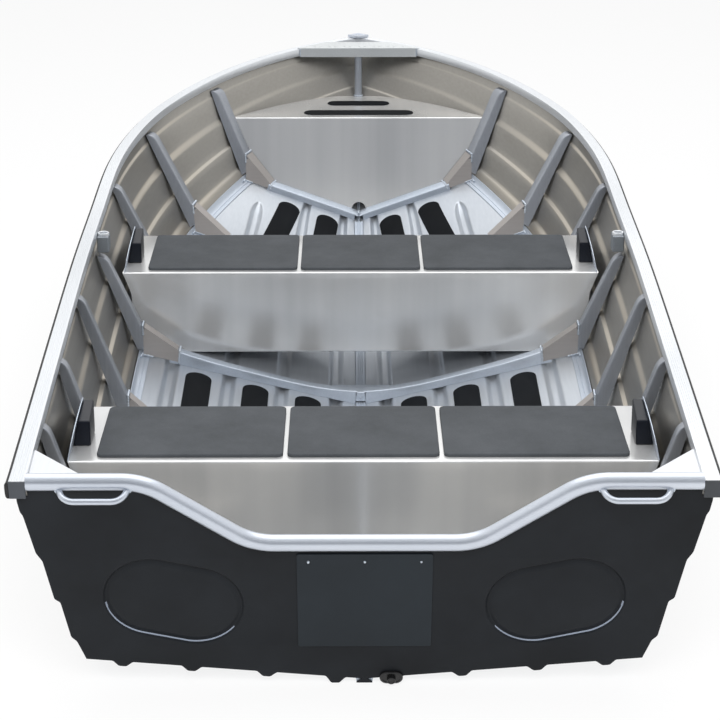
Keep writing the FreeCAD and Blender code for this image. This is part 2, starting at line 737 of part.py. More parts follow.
def rib_seat(y, height):
    size = max((line_at(CHINE_LINE, y).x / CHINE_HALF_BEAM) ** STEP_fade_share, STEP_least_share)
    foot_share = RIB_FOOT_LIFT / height / STEP_up_shares[0]
    return max(SHEET - STEP_out_shares[0] * STEP_OUT * size * min(foot_share, 1.0), 0.0) + GAP


def lean_foot(y):
    return bottom_at(y, line_at(CHINE_LINE, y).x * GUSSET_reach_share, SHEET).z


def lean_of(y):
    reach = FRAME_STATIONS["frame_1"] - RIB_LEAN_START
    return RIB_LEAN_share * min(max(y - RIB_LEAN_START, 0.0) / reach, 1.0)


def lean_rule(y):
    slope, foot = lean_of(y), lean_foot(y)
    return lambda z: y + slope * (z - foot)


def leaning(y, rule, share, lift):
    at = y
    for _ in range(3):
        at = rule(panel_at("side", share, at, lift).z)
    point = panel_at("side", share, at, lift)
    return V(point.x, rule(point.z), point.z)


def rib_points(y, top_drop, inset=0.0):
    rule = lean_rule(y)
    sheer = line_at(SHEER_LINE, y)
    chine = line_at(CHINE_LINE, y)
    height = sheer.z - chine.z
    seat = rib_seat(y, height)
    past = 0.0 if inset == 0 else CORE_PAST_END
    low = (RIB_FOOT_LIFT - past) / height
    high = 1.0 - (top_drop - past) / height
    shares = [low + (high - low) * i / 4 for i in range(5)]
    outer, inner = [], []
    for i, share in enumerate(shares):
        depth = RIB_FOOT_DEPTH + (RIB_TOP_DEPTH - RIB_FOOT_DEPTH) * i / 4
        outer.append(leaning(y, rule, share, seat if inset == 0 else -STEP_OUT))
        inner.append(leaning(y, rule, share, seat + depth - inset))
    return outer + inner[::-1]


def rib(y, top_drop=RIB_TOP_DROP):
    half = FRAME_WIDTH / 2
    body = slab(lambda at: rib_points(at, top_drop), y - half, y + half)
    core = slab(lambda at: rib_points(at, top_drop, RIB_WALL), y - half + RIB_WALL, y + half - RIB_WALL)
    return body.cut(core)


def ridge_top(y):
    keel, chine = line_at(KEEL_LINE, y), line_at(CHINE_LINE, y)
    rise = min((chine.z - keel.z) / max(chine.x - keel.x, GAP), KEEL_rise_share)
    return keel.z + rise * (KEEL_HALF_RIDGE - WEB_HALF) + SHEET + 4 * GAP + KEEL_RIDGE


def arm_lift(y):
    middle_frame = abs(y - FRAME_STATIONS["frame_4"]) < FRAME_WIDTH
    return [share * ARM_LIFT if middle_frame else 0.0 for share in ARM_lift_shares]


def arm_points(y, lift=0.0, top=ARM_HEIGHT, past=0.0):
    chine = line_at(CHINE_LINE, y)
    far = chine.x * ARM_end_share + past
    near = KEEL_HALF_RIDGE + 6 * GAP
    rises = arm_lift(y)
    xs = [near + (far - near) * i / (len(rises) - 1) for i in range(len(rises))]
    foot = [bottom_at(y, x, SHEET + GAP + lift) for x in xs]
    crest = [bottom_at(y, x, SHEET + GAP + top) + V(0, 0, rise) for x, rise in zip(xs, rises)]
    half = crest[::-1] + [V(0, y, crest[0].z)]
    under = foot[::-1] + [V(near, y, ridge_top(y) + 3 * GAP + lift)]
    return under + [V(-p.x, y, p.z) for p in under[::-1] + half[:-1]] + half[::-1]


def arms(y):
    half = FRAME_WIDTH / 2
    body = slab(arm_points, y - half, y + half)
    core = slab(lambda at: arm_points(at, -STRAKE_DEPTH, ARM_HEIGHT - ARM_WALL, CORE_PAST_END),
                y - half + ARM_WALL, y + half - ARM_WALL)
    return body.cut(core)


def gusset_points(y):
    chine = line_at(CHINE_LINE, y)
    rule = lean_rule(y)
    rise = leaning(y, rule, GUSSET_RISE_share, RIB_FOOT_DEPTH)
    base = leaning(y, rule, GUSSET_RISE_share, SHEET + 2 * CHINE_STRIP)
    reach = chine.x * GUSSET_reach_share
    toe_top = bottom_at(y, reach, SHEET + GAP + ARM_HEIGHT) + V(0, 0, arm_lift(y)[-1])
    toe = bottom_at(y, reach, SHEET + 3 * CHINE_STRIP)
    heel = bottom_at(y, chine.x - 3 * CHINE_STRIP, SHEET + 3 * CHINE_STRIP)
    return [V(p.x, rule(p.z), p.z) for p in (heel, base, rise, toe_top, toe)]


def gusset(y):
    half = FRAME_WIDTH / 2
    web = slab(gusset_points, y - half, y - half + GUSSET_PLATE)

    def flange_points(at):
        heel, base, rise, toe_top, toe = gusset_points(at)
        along = toe_top - rise
        along.normalize()
        drop = V(-along.z, 0, along.x) * GUSSET_PLATE
        rule = lean_rule(at)
        return [V(p.x, rule(p.z), p.z) for p in (rise, toe_top, toe_top + drop, rise + drop)]

    return web.fuse(slab(flange_points, y - half, y + half))


def frame(y, top_drop):
    half = rib(y, top_drop).fuse(gusset(y))
    return joined([half, mirrored(half), arms(y)])


def step_plate():
    y = FRAME_STATIONS["frame_4"] + FRAME_WIDTH / 2
    z = bottom_at(y, STEP_PLATE_HALF_WIDTH, SHEET + GAP).z + GAP
    return box(-STEP_PLATE_HALF_WIDTH, STEP_PLATE_HALF_WIDTH, y + GAP, y + GAP + STEP_PLATE_LENGTH,
               z, z + STEP_PLATE)


# Thwarts, pads and end brackets
def thwart_foot(at):
    return bottom_at(at, THWART_HALF_FOOT, SHEET + GAP).z


def thwart_face(y, thick):
    def points(at):
        top = side_at(at, THWART_TOP, SHEET + THWART_SIDE_GAP)
        knuckle = side_at(at, THWART_KNUCKLE, SHEET + THWART_SIDE_GAP)
        z = thwart_foot(at)
        return [V(top.x, at, THWART_TOP), V(-top.x, at, THWART_TOP), V(-knuckle.x, at, THWART_KNUCKLE),
                V(-THWART_HALF_FOOT, at, z), V(THWART_HALF_FOOT, at, z), V(knuckle.x, at, THWART_KNUCKLE)]
    return slab(points, y, y + thick)


def thwart(y, depth):
    t = THWART_SHEET

    def top_points(at):
        edge = side_at(at, THWART_TOP, SHEET + THWART_SIDE_GAP).x
        return [V(-edge, at, THWART_TOP - t), V(edge, at, THWART_TOP - t), V(edge, at, THWART_TOP),
                V(-edge, at, THWART_TOP)]

    def lip_points(at):
        x, z = THWART_HALF_FOOT, thwart_foot(at)
        return [V(-x, at, z), V(x, at, z), V(x, at, z + t), V(-x, at, z + t)]

    shapes = [slab(top_points, y, y + depth), thwart_face(y, t), thwart_face(y + depth - t, t)]
    shapes.append(slab(lip_points, y, y + THWART_LIP))
    shapes.append(slab(lip_points, y + depth - THWART_LIP, y + depth))
    return joined(shapes)


def seat_pads(y, depth):
    end = bracket_face(y) - BRACKET_WIDTH - SEAT_PAD_BRACKET_GAP
    spans = [(-end, -SEAT_PAD_SPLIT - SEAT_PAD_SPACING / 2),
             (-SEAT_PAD_SPLIT + SEAT_PAD_SPACING / 2, SEAT_PAD_SPLIT - SEAT_PAD_SPACING / 2),
             (SEAT_PAD_SPLIT + SEAT_PAD_SPACING / 2, end)]
    pads = []
    for x0, x1 in spans:
        z = THWART_TOP + GAP
        pad = box(x0, x1, y + SEAT_PAD_EDGE, y + depth - SEAT_PAD_EDGE, z, z + SEAT_PAD)
        upright = [e for e in pad.Edges if abs(e.tangentAt(e.FirstParameter).z) > 0.9]
        pads.append(pad.makeFillet(SEAT_PAD_CORNER, upright))
    return pads


def bracket_face(y):
    return side_at(y + BRACKET_SETBACK, THWART_TOP, SHEET + THWART_SIDE_GAP).x - BRACKET_PLATE - GAP


def bracket(y):
    x1 = bracket_face(y)
    x0 = x1 - BRACKET_WIDTH
    base = THWART_TOP + GAP

    def points(at):
        along = (at - y - BRACKET_SETBACK) / BRACKET_LENGTH
        rise = BRACKET_FRONT + (BRACKET_BACK - BRACKET_FRONT) * along
        return [V(x0, at, base), V(x0, at, base + rise), V(x1 - BRACKET_lean_share * rise, at, base + rise),
                V(x1, at, base)]

    return slab(points, y + BRACKET_SETBACK, y + BRACKET_SETBACK + BRACKET_LENGTH)


def bracket_plate(y):
    x0 = bracket_face(y) + GAP
    base = THWART_TOP + GAP
    peak_y = y + BRACKET_SETBACK + BRACKET_LENGTH
    run, rise = peak_y - y, BRACKET_BACK + BRACKET_PLATE
    low, high = V(x0, y + GAP, base), V(x0, peak_y + BRACKET_FLANGE, base)
    peak = V(x0, peak_y, base + rise)
    shoulder = V(x0, y + run * BRACKET_shoulder_shares[0], base + rise * BRACKET_shoulder_shares[1])
    edges = [Part.makeLine(high, low), Part.Arc(low, shoulder, peak).toShape(), Part.makeLine(peak, high)]
    plate = Part.Face(Part.Wire(edges)).extrude(V(BRACKET_PLATE, 0, 0))
    plate.rotate(V(x0, y, base), V(0, 1, 0), -math.degrees(math.atan(BRACKET_lean_share)))
    return plate


# Bow pieces
def bow_seat_rule():
    frame_rule = lean_rule(FRAME_STATIONS["frame_1"] + FRAME_WIDTH / 2)
    return lambda z: frame_rule(z) + BOW_SEAT_SETBACK


def bow_seat():
    t = BOW_SEAT_SHEET
    rule = bow_seat_rule()

    def half_width(at, z, gap):
        return side_at(at, z, SHEET + gap).x

    rows = []
    count = 7
    start, end = rule(BOW_SEAT_TOP - t), stem_inner_y(BOW_SEAT_TOP) - BOW_SEAT_APEX_CUT
    for i in range(count):
        y = start + (end - start) * i / (count - 1)
        x = half_width(y, BOW_SEAT_TOP, BOW_SEAT_SIDE_GAP)
        rows.append(V(x, y, BOW_SEAT_TOP - t))
    ring = rows + [V(-p.x, p.y, p.z) for p in rows[::-1]]
    top = prism(ring, V(0, 0, t))

    low = line_at(CHINE_LINE, BOW_SEAT_AFT)
    bend_x = low.x * GUSSET_reach_share
    bend_z = bottom_at(BOW_SEAT_AFT, bend_x, SHEET + BOW_SEAT_FLOOR_GAP).z
    y = rule(bend_z)

    def whole(half):
        return half + [V(-p.x, p.y, p.z) for p in half[::-1]]

    def upper_points(past):
        heights = [BOW_SEAT_TOP - t, (BOW_SEAT_TOP + low.z) / 2]
        half = [V(half_width(rule(z) + past, z, BOW_SEAT_SIDE_GAP), rule(z) + past, z) for z in heights]
        x = low.x - 5 * BOW_SEAT_SIDE_GAP
        z = bottom_at(rule(low.z) + past, x, SHEET + BOW_SEAT_FLOOR_GAP).z
        return whole(half + [V(x, rule(z) + past, z), V(bend_x, y + past, bend_z)])

    def lower_points(past):
        x = KEEL_HALF_RIDGE + BOW_SEAT_SIDE_GAP
        foot = bottom_at(y + past, x, SHEET + BOW_SEAT_FLOOR_GAP)
        return whole([V(bend_x, y + past, bend_z), V(x, y + past, foot.z)])

    face = slab(upper_points, 0.0, t).fuse(slab(lower_points, 0.0, t))
    hole_z = bottom_at(y, KEEL_HALF_RIDGE + BOW_SEAT_SIDE_GAP, SHEET + BOW_SEAT_SIDE_GAP).z + LIMBER_RADIUS * 1.4
    face = face.cut(Part.makeCylinder(LIMBER_RADIUS, 3 * LIMBER_RADIUS, V(0, y - LIMBER_RADIUS, hole_z), V(0, 1, 0)))
    return top.fuse(face).removeSplitter()


def stem_inner_y(z):
    path = smooth([V(0, KEEL_ROW[LAST].y, KEEL_ROW[LAST].z), V(0, CHINE_ROW[LAST].y, CHINE_ROW[LAST].z),
                   V(0, SHEER_ROW[LAST].y, SHEER_ROW[LAST].z)])
    low, high = 0.0, 2.0
    for _ in range(40):
        middle = (low + high) / 2
        if path.value(middle).z < z:
            low = middle
        else:
            high = middle
    return path.value(middle).y


def bow_strips():
    strips = []
    z = BOW_SEAT_TOP + GAP
    y = bow_seat_rule()(BOW_SEAT_TOP) + BOW_STRIP_SETBACK - BOW_STRIP_SPACING
    for half in BOW_STRIP_HALVES:
        y += BOW_STRIP_SPACING
        r = BOW_STRIP_WIDTH / 2
        straight = half - r
        edges = [Part.makeLine(V(-straight, y, z), V(straight, y, z)),
                 Part.Arc(V(straight, y, z), V(half, y + r, z), V(straight, y + 2 * r, z)).toShape(),
                 Part.makeLine(V(straight, y + 2 * r, z), V(-straight, y + 2 * r, z)),
                 Part.Arc(V(-straight, y + 2 * r, z), V(-half, y + r, z), V(-straight, y, z)).toShape()]
        strips.append(Part.Face(Part.Wire(edges)).extrude(V(0, 0, BOW_STRIP)))
    return strips


def breasthook():
    rows = []
    count = 5
    rail = edge_curve(GAP + GUNWALE_WALL - GUNWALE_WIDTH + GUNWALE_WALL, GUNWALE_TOP + 2 * GAP)
    start, end = curve_param(rail, HOOK_AFT), LAST - HOOK_end_share
    for i in range(count):
        rows.append(rail.value(start + (end - start) * i / (count - 1)))
    low = [V(p.x, p.y, p.z) for p in rows]
    mirrored_rows = [V(-p.x, p.y, p.z) for p in low]
    t = HOOK_PLATE
    top = rail_solid([low, mirrored_rows, [p + V(0, 0, t) for p in mirrored_rows],
                      [p + V(0, 0, t) for p in low]])
    x = rail.value(curve_param(rail, HOOK_AFT)).x - 3 * GUNWALE_WALL
    z = low[0].z
    fold = box(-x, x, HOOK_AFT - t, HOOK_AFT, z + t - HOOK_FOLD, z + t)
    return top.fuse(fold)


def edge_curve(out, up):
    return smooth(edge_row(out, up))


def curve_param(curve, y):
    low, high = 0.0, float(LAST)
    for _ in range(40):
        middle = (low + high) / 2
        if curve.value(middle).y < y:
            low = middle
        else:
            high = middle
    return middle


def nose_cap():
    tip = edge_row(GAP + GUNWALE_WALL, GUNWALE_TOP)[LAST]
    z = tip.z + GAP
    y1 = tip.y + NOSE_OVERHANG
    y0 = y1 - NOSE_LENGTH
    middle = (y0 + y1) / 2
    points = [V(0, y0, z), V(NOSE_HALF_WIDTH, middle, z), V(0, y1, z), V(-NOSE_HALF_WIDTH, middle, z)]
    return prism(points, V(0, 0, NOSE_PLATE))


def stem_post():
    y = SHEER_ROW[LAST].y - POST_SETBACK
    z0 = BOW_SEAT_TOP + GAP
    z1 = line_at(SHEER_LINE, HOOK_AFT).z + GUNWALE_TOP + EDGE_GAP
    outer = Part.makeCylinder(POST_RADIUS, z1 - z0, V(0, y, z0))
    return outer.cut(Part.makeCylinder(POST_RADIUS - POST_WALL, z1 - z0, V(0, y, z0)))


def bow_eye():
    rows = stem_rows()
    rail = smooth([V(0, (row[3].y + row[4].y) / 2, (row[3].z + row[4].z) / 2) for row in rows])
    low, high = 0.0, float(len(rows) - 1)
    for _ in range(40):
        middle = (low + high) / 2
        if rail.value(middle).z < EYE_HEIGHT:
            low = middle
        else:
            high = middle
    centre = rail.value(middle)
    step = 0.02
    along = rail.value(middle + step) - rail.value(middle - step)
    along.normalize()
    out = V(0, along.z, -along.y)
    a = centre - along * EYE_HALF_HEIGHT + out * GAP
    b = a + out * EYE_REACH
    c = b + along * (2 * EYE_HALF_HEIGHT)
    d = a + along * (2 * EYE_HALF_HEIGHT)
    return swept_bar(filleted_wire([a, b, c, d], EYE_HALF_HEIGHT * 0.8), EYE_BAR_RADIUS)


# Rowlock sockets on frame 4
def rowlock():
    y = FRAME_STATIONS["frame_4"]
    sheer = line_at(SHEER_LINE, y)
    inner = sheer.x + GAP + GUNWALE_WALL - GUNWALE_WIDTH
    x = inner - GAP - ROWLOCK_RADIUS
    top = sheer.z + GUNWALE_TOP + ROWLOCK_STAND
    tube = Part.makeCylinder(ROWLOCK_RADIUS, ROWLOCK_HEIGHT, V(x, y, top - ROWLOCK_HEIGHT))
    block = box(x - ROWLOCK_RADIUS, inner - GAP, y - ROWLOCK_BLOCK, y + ROWLOCK_BLOCK,
                top - ROWLOCK_HEIGHT, top - ROWLOCK_HEIGHT + ROWLOCK_BLOCK_DEPTH)
    shape = tube.fuse(block)
    return shape.cut(Part.makeCylinder(ROWLOCK_BORE, ROWLOCK_HEIGHT, V(x, y, top - ROWLOCK_HEIGHT)))


# Floor strips, laid between the strakes
def floor_strip(share, y0, y1):
    count = 5
    rails = []
    for side, lift in ((-1, 0.0), (1, 0.0), (1, FLOOR_STRIP), (-1, FLOOR_STRIP)):
        rail = []
        for i in range(count):
            y = y0 + (y1 - y0) * i / (count - 1)
            x = panel_at("bottom", share, y).x + side * FLOOR_STRIP_WIDTH / 2
            rail.append(bottom_at(y, x, SHEET + 2 * GAP + lift))
        rails.append(rail)
    body = rail_solid(rails)
    r = FLOOR_STRIP_WIDTH / 2
    a, b = panel_at("bottom", share, y0 + r), panel_at("bottom", share, y1 - r)
    low = V(a.x, a.y, -SHEER_HEIGHT)
    edges = [Part.makeLine(V(a.x + r, a.y, low.z), V(b.x + r, b.y, low.z)),
             Part.Arc(V(b.x + r, b.y, low.z), V(b.x, b.y + r, low.z), V(b.x - r, b.y, low.z)).toShape(),
             Part.makeLine(V(b.x - r, b.y, low.z), V(a.x - r, a.y, low.z)),
             Part.Arc(V(a.x - r, a.y, low.z), V(a.x, a.y - r, low.z), V(a.x + r, a.y, low.z)).toShape()]
    outline = Part.Face(Part.Wire(edges)).extrude(V(0, 0, 3 * SHEER_HEIGHT))
    return body.common(outline)


def floor_strips(shares, behind, ahead):
    y0 = FRAME_STATIONS[behind] + FRAME_WIDTH / 2 + FLOOR_STRIP_AFT_GAP
    y1 = FRAME_STATIONS[ahead] - FRAME_WIDTH / 2 - FLOOR_STRIP_FORE_GAP
    strips = []
    for share in shares:
        strip = floor_strip(share, y0, y1)
        strips += [strip, mirrored(strip)]
    return Part.makeCompound(strips)


def assemble():
    nodes = {}
    pairs = {"bottom": bottom_sheet(), "side": side_sheet(), "chine_strip": chine_strip(),
             "gunwale": gunwale(), "rub_rail": rub_rail(), "gunwale_end_cap": end_cap(),
             "corner_knee": corner_knee(), "handle": handle(), "rowlock_socket": rowlock()}
    for name, shape in pairs.items():
        nodes[name + "_starboard"] = shape
        nodes[name + "_port"] = mirrored(shape)
    nodes["keel"] = keel()
    nodes["stem"] = stem()
    nodes["transom_plate"] = transom_plate()
    nodes["transom_cap_tube"] = cap_tube()
    nodes["transom_pad_outer"] = outer_pad()
    nodes["transom_pad_inner"] = inner_pad()
    nodes["transom_knee"] = transom_knee()
    nodes["drain_plug"] = drain_plug()
    for name, y in FRAME_STATIONS.items():
        socket_drop = RIB_TOP_DROP + ROWLOCK_HEIGHT - ROWLOCK_STAND - GUNWALE_TOP - GUNWALE_LIP_DEPTH
        nodes[name] = frame(y, socket_drop if name == "frame_4" else RIB_TOP_DROP)
    for name, y in RIB_STATIONS.items():
        nodes[name] = both(rib(y))
    nodes["step_plate"] = step_plate()
    for name, (y, depth) in THWARTS.items():
        nodes["thwart_" + name] = thwart(y, depth)
        nodes["seat_pads_" + name] = Part.makeCompound(seat_pads(y, depth))
        nodes["bracket_blocks_" + name] = both(bracket(y))
        nodes["bracket_plates_" + name] = both(bracket_plate(y))
    nodes["bow_seat"] = bow_seat()
    nodes["bow_seat_strips"] = Part.makeCompound(bow_strips())
    nodes["breasthook"] = breasthook()
    nodes["nose_cap"] = nose_cap()
    nodes["stem_post"] = stem_post()
    nodes["bow_eye"] = bow_eye()
    nodes["floor_strips_forward"] = floor_strips(FORWARD_STRIP_shares, "frame_2", "frame_1")
    nodes["floor_strips_aft"] = floor_strips(AFT_STRIP_shares, "frame_5", "frame_4")
    return nodes


def export(nodes):
    bounds = FreeCAD.BoundBox()
    for shape in nodes.values():
        bounds.add(shape.optimalBoundingBox(True, False))
    shift = V(0, -(bounds.YMin + bounds.YMax) / 2, -bounds.ZMin)
    for name, shape in nodes.items():
        shape.translate(shift)
        shape.exportStep("parts/" + name + ".step")
        print(name, "solids", len(shape.Solids), "valid", shape.isValid(), "volume", round(shape.Volume))
    print("length", bounds.YLength, "width", bounds.XLength, "height", bounds.ZLength, "low", bounds.ZMin,
          "y shift", shift.y)


export(assemble())
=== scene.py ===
import math

import bmesh
import bpy
import numpy as np
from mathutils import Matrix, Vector
from mathutils.geometry import tessellate_polygon


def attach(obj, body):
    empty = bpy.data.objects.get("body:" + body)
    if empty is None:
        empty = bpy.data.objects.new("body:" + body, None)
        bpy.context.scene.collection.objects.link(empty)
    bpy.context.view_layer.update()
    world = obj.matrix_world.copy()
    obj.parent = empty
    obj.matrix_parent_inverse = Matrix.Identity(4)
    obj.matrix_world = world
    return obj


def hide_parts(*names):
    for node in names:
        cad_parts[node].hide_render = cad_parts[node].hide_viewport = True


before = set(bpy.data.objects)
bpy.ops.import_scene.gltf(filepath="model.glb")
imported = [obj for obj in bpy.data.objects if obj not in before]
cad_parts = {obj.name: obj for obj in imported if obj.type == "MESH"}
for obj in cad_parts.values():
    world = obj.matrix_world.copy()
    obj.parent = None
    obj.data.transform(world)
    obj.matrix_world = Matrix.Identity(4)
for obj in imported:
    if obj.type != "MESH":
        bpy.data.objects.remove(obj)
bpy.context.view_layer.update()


# ---------------------------------------------------------------- Hull bottom and sides
# Four pressed sheets of 2 mm aluminium. The bottom halves have strakes pressed outwards, the sides
# have four long steps, and all of them meet at the keel, the chine and the stem.
# The lines of the hull are those of the CAD part, in mm from the transom's foot.
HULL_LENGTH, HALF_BEAM, SHEER_HEIGHT, CHINE_HALF_BEAM = 3512.0, 760.0, 526.0, 628.0
TRANSOM_RAKE, SHEET, STEM_HALF = 0.25, 2.0, 4.0
ORIGIN_Y, FLOOR_DROP, LAST = 1677.68, 0.064, 11.0
SHEER_ALONG = [0.0, 0.114, 0.256, 0.399, 0.527, 0.635, 0.726, 0.797, 0.860, 0.911, 0.960, 1.0]
SHEER_OUT = [0.929, 0.955, 0.977, 0.995, 1.0, 0.994, 0.943, 0.854, 0.713, 0.551, 0.329, 0.0]
SHEER_UP = [1.0, 0.995, 0.998, 1.006, 1.027, 1.066, 1.108, 1.147, 1.193, 1.232, 1.268, 1.304]
CHINE_ALONG = [0.0, 0.114, 0.256, 0.399, 0.527, 0.627, 0.717, 0.789, 0.850, 0.897, 0.937, 0.961]
CHINE_OUT = [0.938, 0.960, 0.980, 0.990, 0.982, 0.948, 0.868, 0.748, 0.608, 0.454, 0.247, 0.0]
CHINE_UP = [0.131, 0.153, 0.203, 0.280, 0.347, 0.398, 0.449, 0.513, 0.580, 0.656, 0.751, 0.856]
KEEL_ALONG = [0.0, 0.114, 0.256, 0.399, 0.527, 0.627, 0.712, 0.780, 0.837, 0.874, 0.903, 0.925]
KEEL_UP = [0.0, 0.0, 0.0, 0.0, 0.003, 0.021, 0.079, 0.165, 0.269, 0.355, 0.440, 0.545]


def row_of(along, out, up, half, lift):
    row = np.array([[max(o * half, STEM_HALF), a * HULL_LENGTH, u * SHEER_HEIGHT + lift]
                    for a, o, u in zip(along, out, up)])
    row[0, 1] = -TRANSOM_RAKE * row[0, 2]
    return row


def curve_through(points):
    """A smooth curve through the points, one whole step of u apart."""
    p = np.asarray(points, float)
    n = len(p)
    system, wanted = np.eye(n), np.zeros_like(p)
    wanted[0] = (-11 * p[0] + 18 * p[1] - 9 * p[2] + 2 * p[3]) / 6
    wanted[-1] = (11 * p[-1] - 18 * p[-2] + 9 * p[-3] - 2 * p[-4]) / 6
    for i in range(1, n - 1):
        system[i, i - 1:i + 2] = 1, 4, 1
        wanted[i] = 3 * (p[i + 1] - p[i - 1])
    slopes = np.linalg.solve(system, wanted.reshape(n, -1)).reshape(p.shape)

    def value(u):
        u = min(max(float(u), 0.0), n - 1.0)
        i = min(int(u), n - 2)
        t = u - i
        return ((2 * t ** 3 - 3 * t ** 2 + 1) * p[i] + (t ** 3 - 2 * t ** 2 + t) * slopes[i]
                + (-2 * t ** 3 + 3 * t ** 2) * p[i + 1] + (t ** 3 - t ** 2) * slopes[i + 1])

    return value


SHEER_ROW = row_of(SHEER_ALONG, SHEER_OUT, SHEER_UP, HALF_BEAM, -0.3)
CHINE_ROW = row_of(CHINE_ALONG, CHINE_OUT, CHINE_UP, CHINE_HALF_BEAM, 0.0)
KEEL_ROW = row_of(KEEL_ALONG, [0.0] * 12, KEEL_UP, 0.0, 13.3)
sheer_line, chine_line, keel_line = map(curve_through, (SHEER_ROW, CHINE_ROW, KEEL_ROW))
PANELS = {"bottom": (keel_line, chine_line), "side": (chine_line, sheer_line)}


def slope_of(curve, u):
    low, high = max(0.0, u - 0.02), min(LAST, u + 0.02)
    return (curve(high) - curve(low)) / (high - low)


def unit(v):
    return np.asarray(v, float) / max(np.linalg.norm(v), 1e-9)


def panel_point(panel, share, u):
    low, high = PANELS[panel]
    return low(u) * (1 - share) + high(u) * share


def panel_normal(panel, share, u):
    low, high = PANELS[panel]
    return unit(np.cross(slope_of(low, u) * (1 - share) + slope_of(high, u) * share, high(u) - low(u)))


def bisected(below, high, rounds):
    low = 0.0
    for _ in range(rounds):
        middle = (low + high) / 2
        low, high = (middle, high) if below(middle) else (low, middle)
    return (low + high) / 2


def station(curve, y):
    """The u at which a curve of the hull passes the place y."""
    return bisected(lambda u: curve(u)[1] < y, LAST, 30)


def line_at(curve, y):
    return curve(station(curve, y))


FINE = np.linspace(0, LAST, 1101)
FINE_LINES = {panel: [np.array([curve(u) for u in FINE]) for curve in lines] for panel, lines in PANELS.items()}


def panel_at(panel, share, y, inward=0.0):
    """A point of a hull panel at the place y, moved inward from it by so many mm."""
    low, high = FINE_LINES[panel]
    line = low * (1 - share) + high * share
    k = min(max(int(np.searchsorted(line[:, 1], y)), 1), len(FINE) - 2)
    t = min(max((y - line[k - 1, 1]) / (line[k, 1] - line[k - 1, 1]), 0.0), 1.0)
    point = line[k - 1] * (1 - t) + line[k] * t
    if inward:
        point = point - unit(np.cross(line[k + 1] - line[k - 1], high[k] - low[k])) * inward
    return np.array((point[0], y, point[2]))


def panel_where(panel, axis, wanted, y, inward):
    return panel_at(panel, bisected(lambda share: panel_at(panel, share, y)[axis] < wanted, 1.0, 20), y, inward)


def side_at(y, z, inward):
    return panel_where("side", 2, z, y, inward)


def bottom_at(y, x, inward=0.0):
    return panel_where("bottom", 0, x, y, inward)


def to_frame(points):
    """From mm at the transom's foot to the part's own metres."""
    return (np.asarray(points, float).reshape(-1, 3) + (0, -ORIGIN_Y, FLOOR_DROP)) / 1000


def linear(hex_colour):
    values = [int(hex_colour[i:i + 2], 16) / 255 for i in (1, 3, 5)]
    return [v / 12.92 if v <= 0.04045 else ((v + 0.055) / 1.055) ** 2.4 for v in values] + [1.0]


def add_node(tree, kind, settings=None, **links):
    """Adds a node, sets its properties and default inputs, and links what is a socket."""
    node = tree.nodes.new(kind)
    for name, value in (settings or {}).items():
        setattr(node, name, value)
    for name, value in links.items():
        socket = node.inputs[int(name[1:])] if name[1:].isdigit() else node.inputs[name.replace("_", " ")]
        if isinstance(value, bpy.types.NodeSocket):
            tree.links.new(value, socket)
        else:
            socket.default_value = value
    return node


def finish_of(name, **constants):
    """An empty material, its nodes and its shader, with the constants that are the same all over."""
    material = bpy.data.materials.new(name)
    material.use_nodes = True
    shader = material.node_tree.nodes["Principled BSDF"]
    for key, value in constants.items():
        shader.inputs[key.replace("_", " ")].default_value = value
    return material, material.node_tree, shader


def tone_between(tree, factor, dark, light, start=0.3, end=0.7):
    ramp = add_node(tree, "ShaderNodeValToRGB", i0=factor)
    for element, position, colour in zip(ramp.color_ramp.elements, (start, end), (dark, light)):
        element.position, element.color = position, linear(colour)
    return ramp.outputs["Color"]


def brushed_metal(name, dark, light, rough, grain, stretch, bump, cloud=2.2, spread=0.08, metallic=0.7):
    """Aluminium with clouds of handling marks over rolling or brushing lines. grain is the spacing of
    the lines in mm, drawn coarse enough to show, stretch how much longer than wide they are along X, Y
    and Z. The oxide on bare aluminium scatters light, so it isn't wholly metallic. rough -/+ spread keeps
    to one side of 0.27, where the render's smoothing would draw a line."""
    material, tree, shader = finish_of(name, Metallic=metallic)
    place = add_node(tree, "ShaderNodeTexCoord").outputs["Object"]
    tall = add_node(tree, "ShaderNodeMapping", Vector=place, Scale=(1.0, 1.0, 0.35)).outputs[0]
    clouds = add_node(tree, "ShaderNodeTexNoise", Vector=tall, Scale=cloud, Detail=0.5, Roughness=0.5).outputs[0]
    lines_at = add_node(tree, "ShaderNodeMapping", Vector=place, Scale=[1000 / grain / s for s in stretch])
    lines = add_node(tree, "ShaderNodeTexNoise", Vector=lines_at.outputs[0], Scale=1.0, Detail=2.0).outputs[0]
    mixed = add_node(tree, "ShaderNodeMath", {"operation": "MULTIPLY_ADD"}, i0=lines, i1=0.35, i2=clouds).outputs[0]
    tree.links.new(tone_between(tree, mixed, dark, light, 0.35, 1.0), shader.inputs["Base Color"])
    rub = add_node(tree, "ShaderNodeMapRange", {"interpolation_type": "SMOOTHSTEP"}, i0=clouds, i1=0.2, i2=0.8,
                   i3=rough - spread, i4=rough + spread)
    tree.links.new(rub.outputs[0], shader.inputs["Roughness"])
    if bump:
        raised = add_node(tree, "ShaderNodeBump", Height=lines, Strength=bump, Distance=0.0004)
        tree.links.new(raised.outputs[0], shader.inputs["Normal"])
    return material


# Mill-finish marine sheet: rolled along the hull, dull, with faint clouds from handling.
pressed_sheet = brushed_metal("mill_finish_pressed_sheet", "#95928c", "#aba8a2", 0.345, 8.0, (1, 30, 1), 0.04,
                              spread=0.05, metallic=0.9)
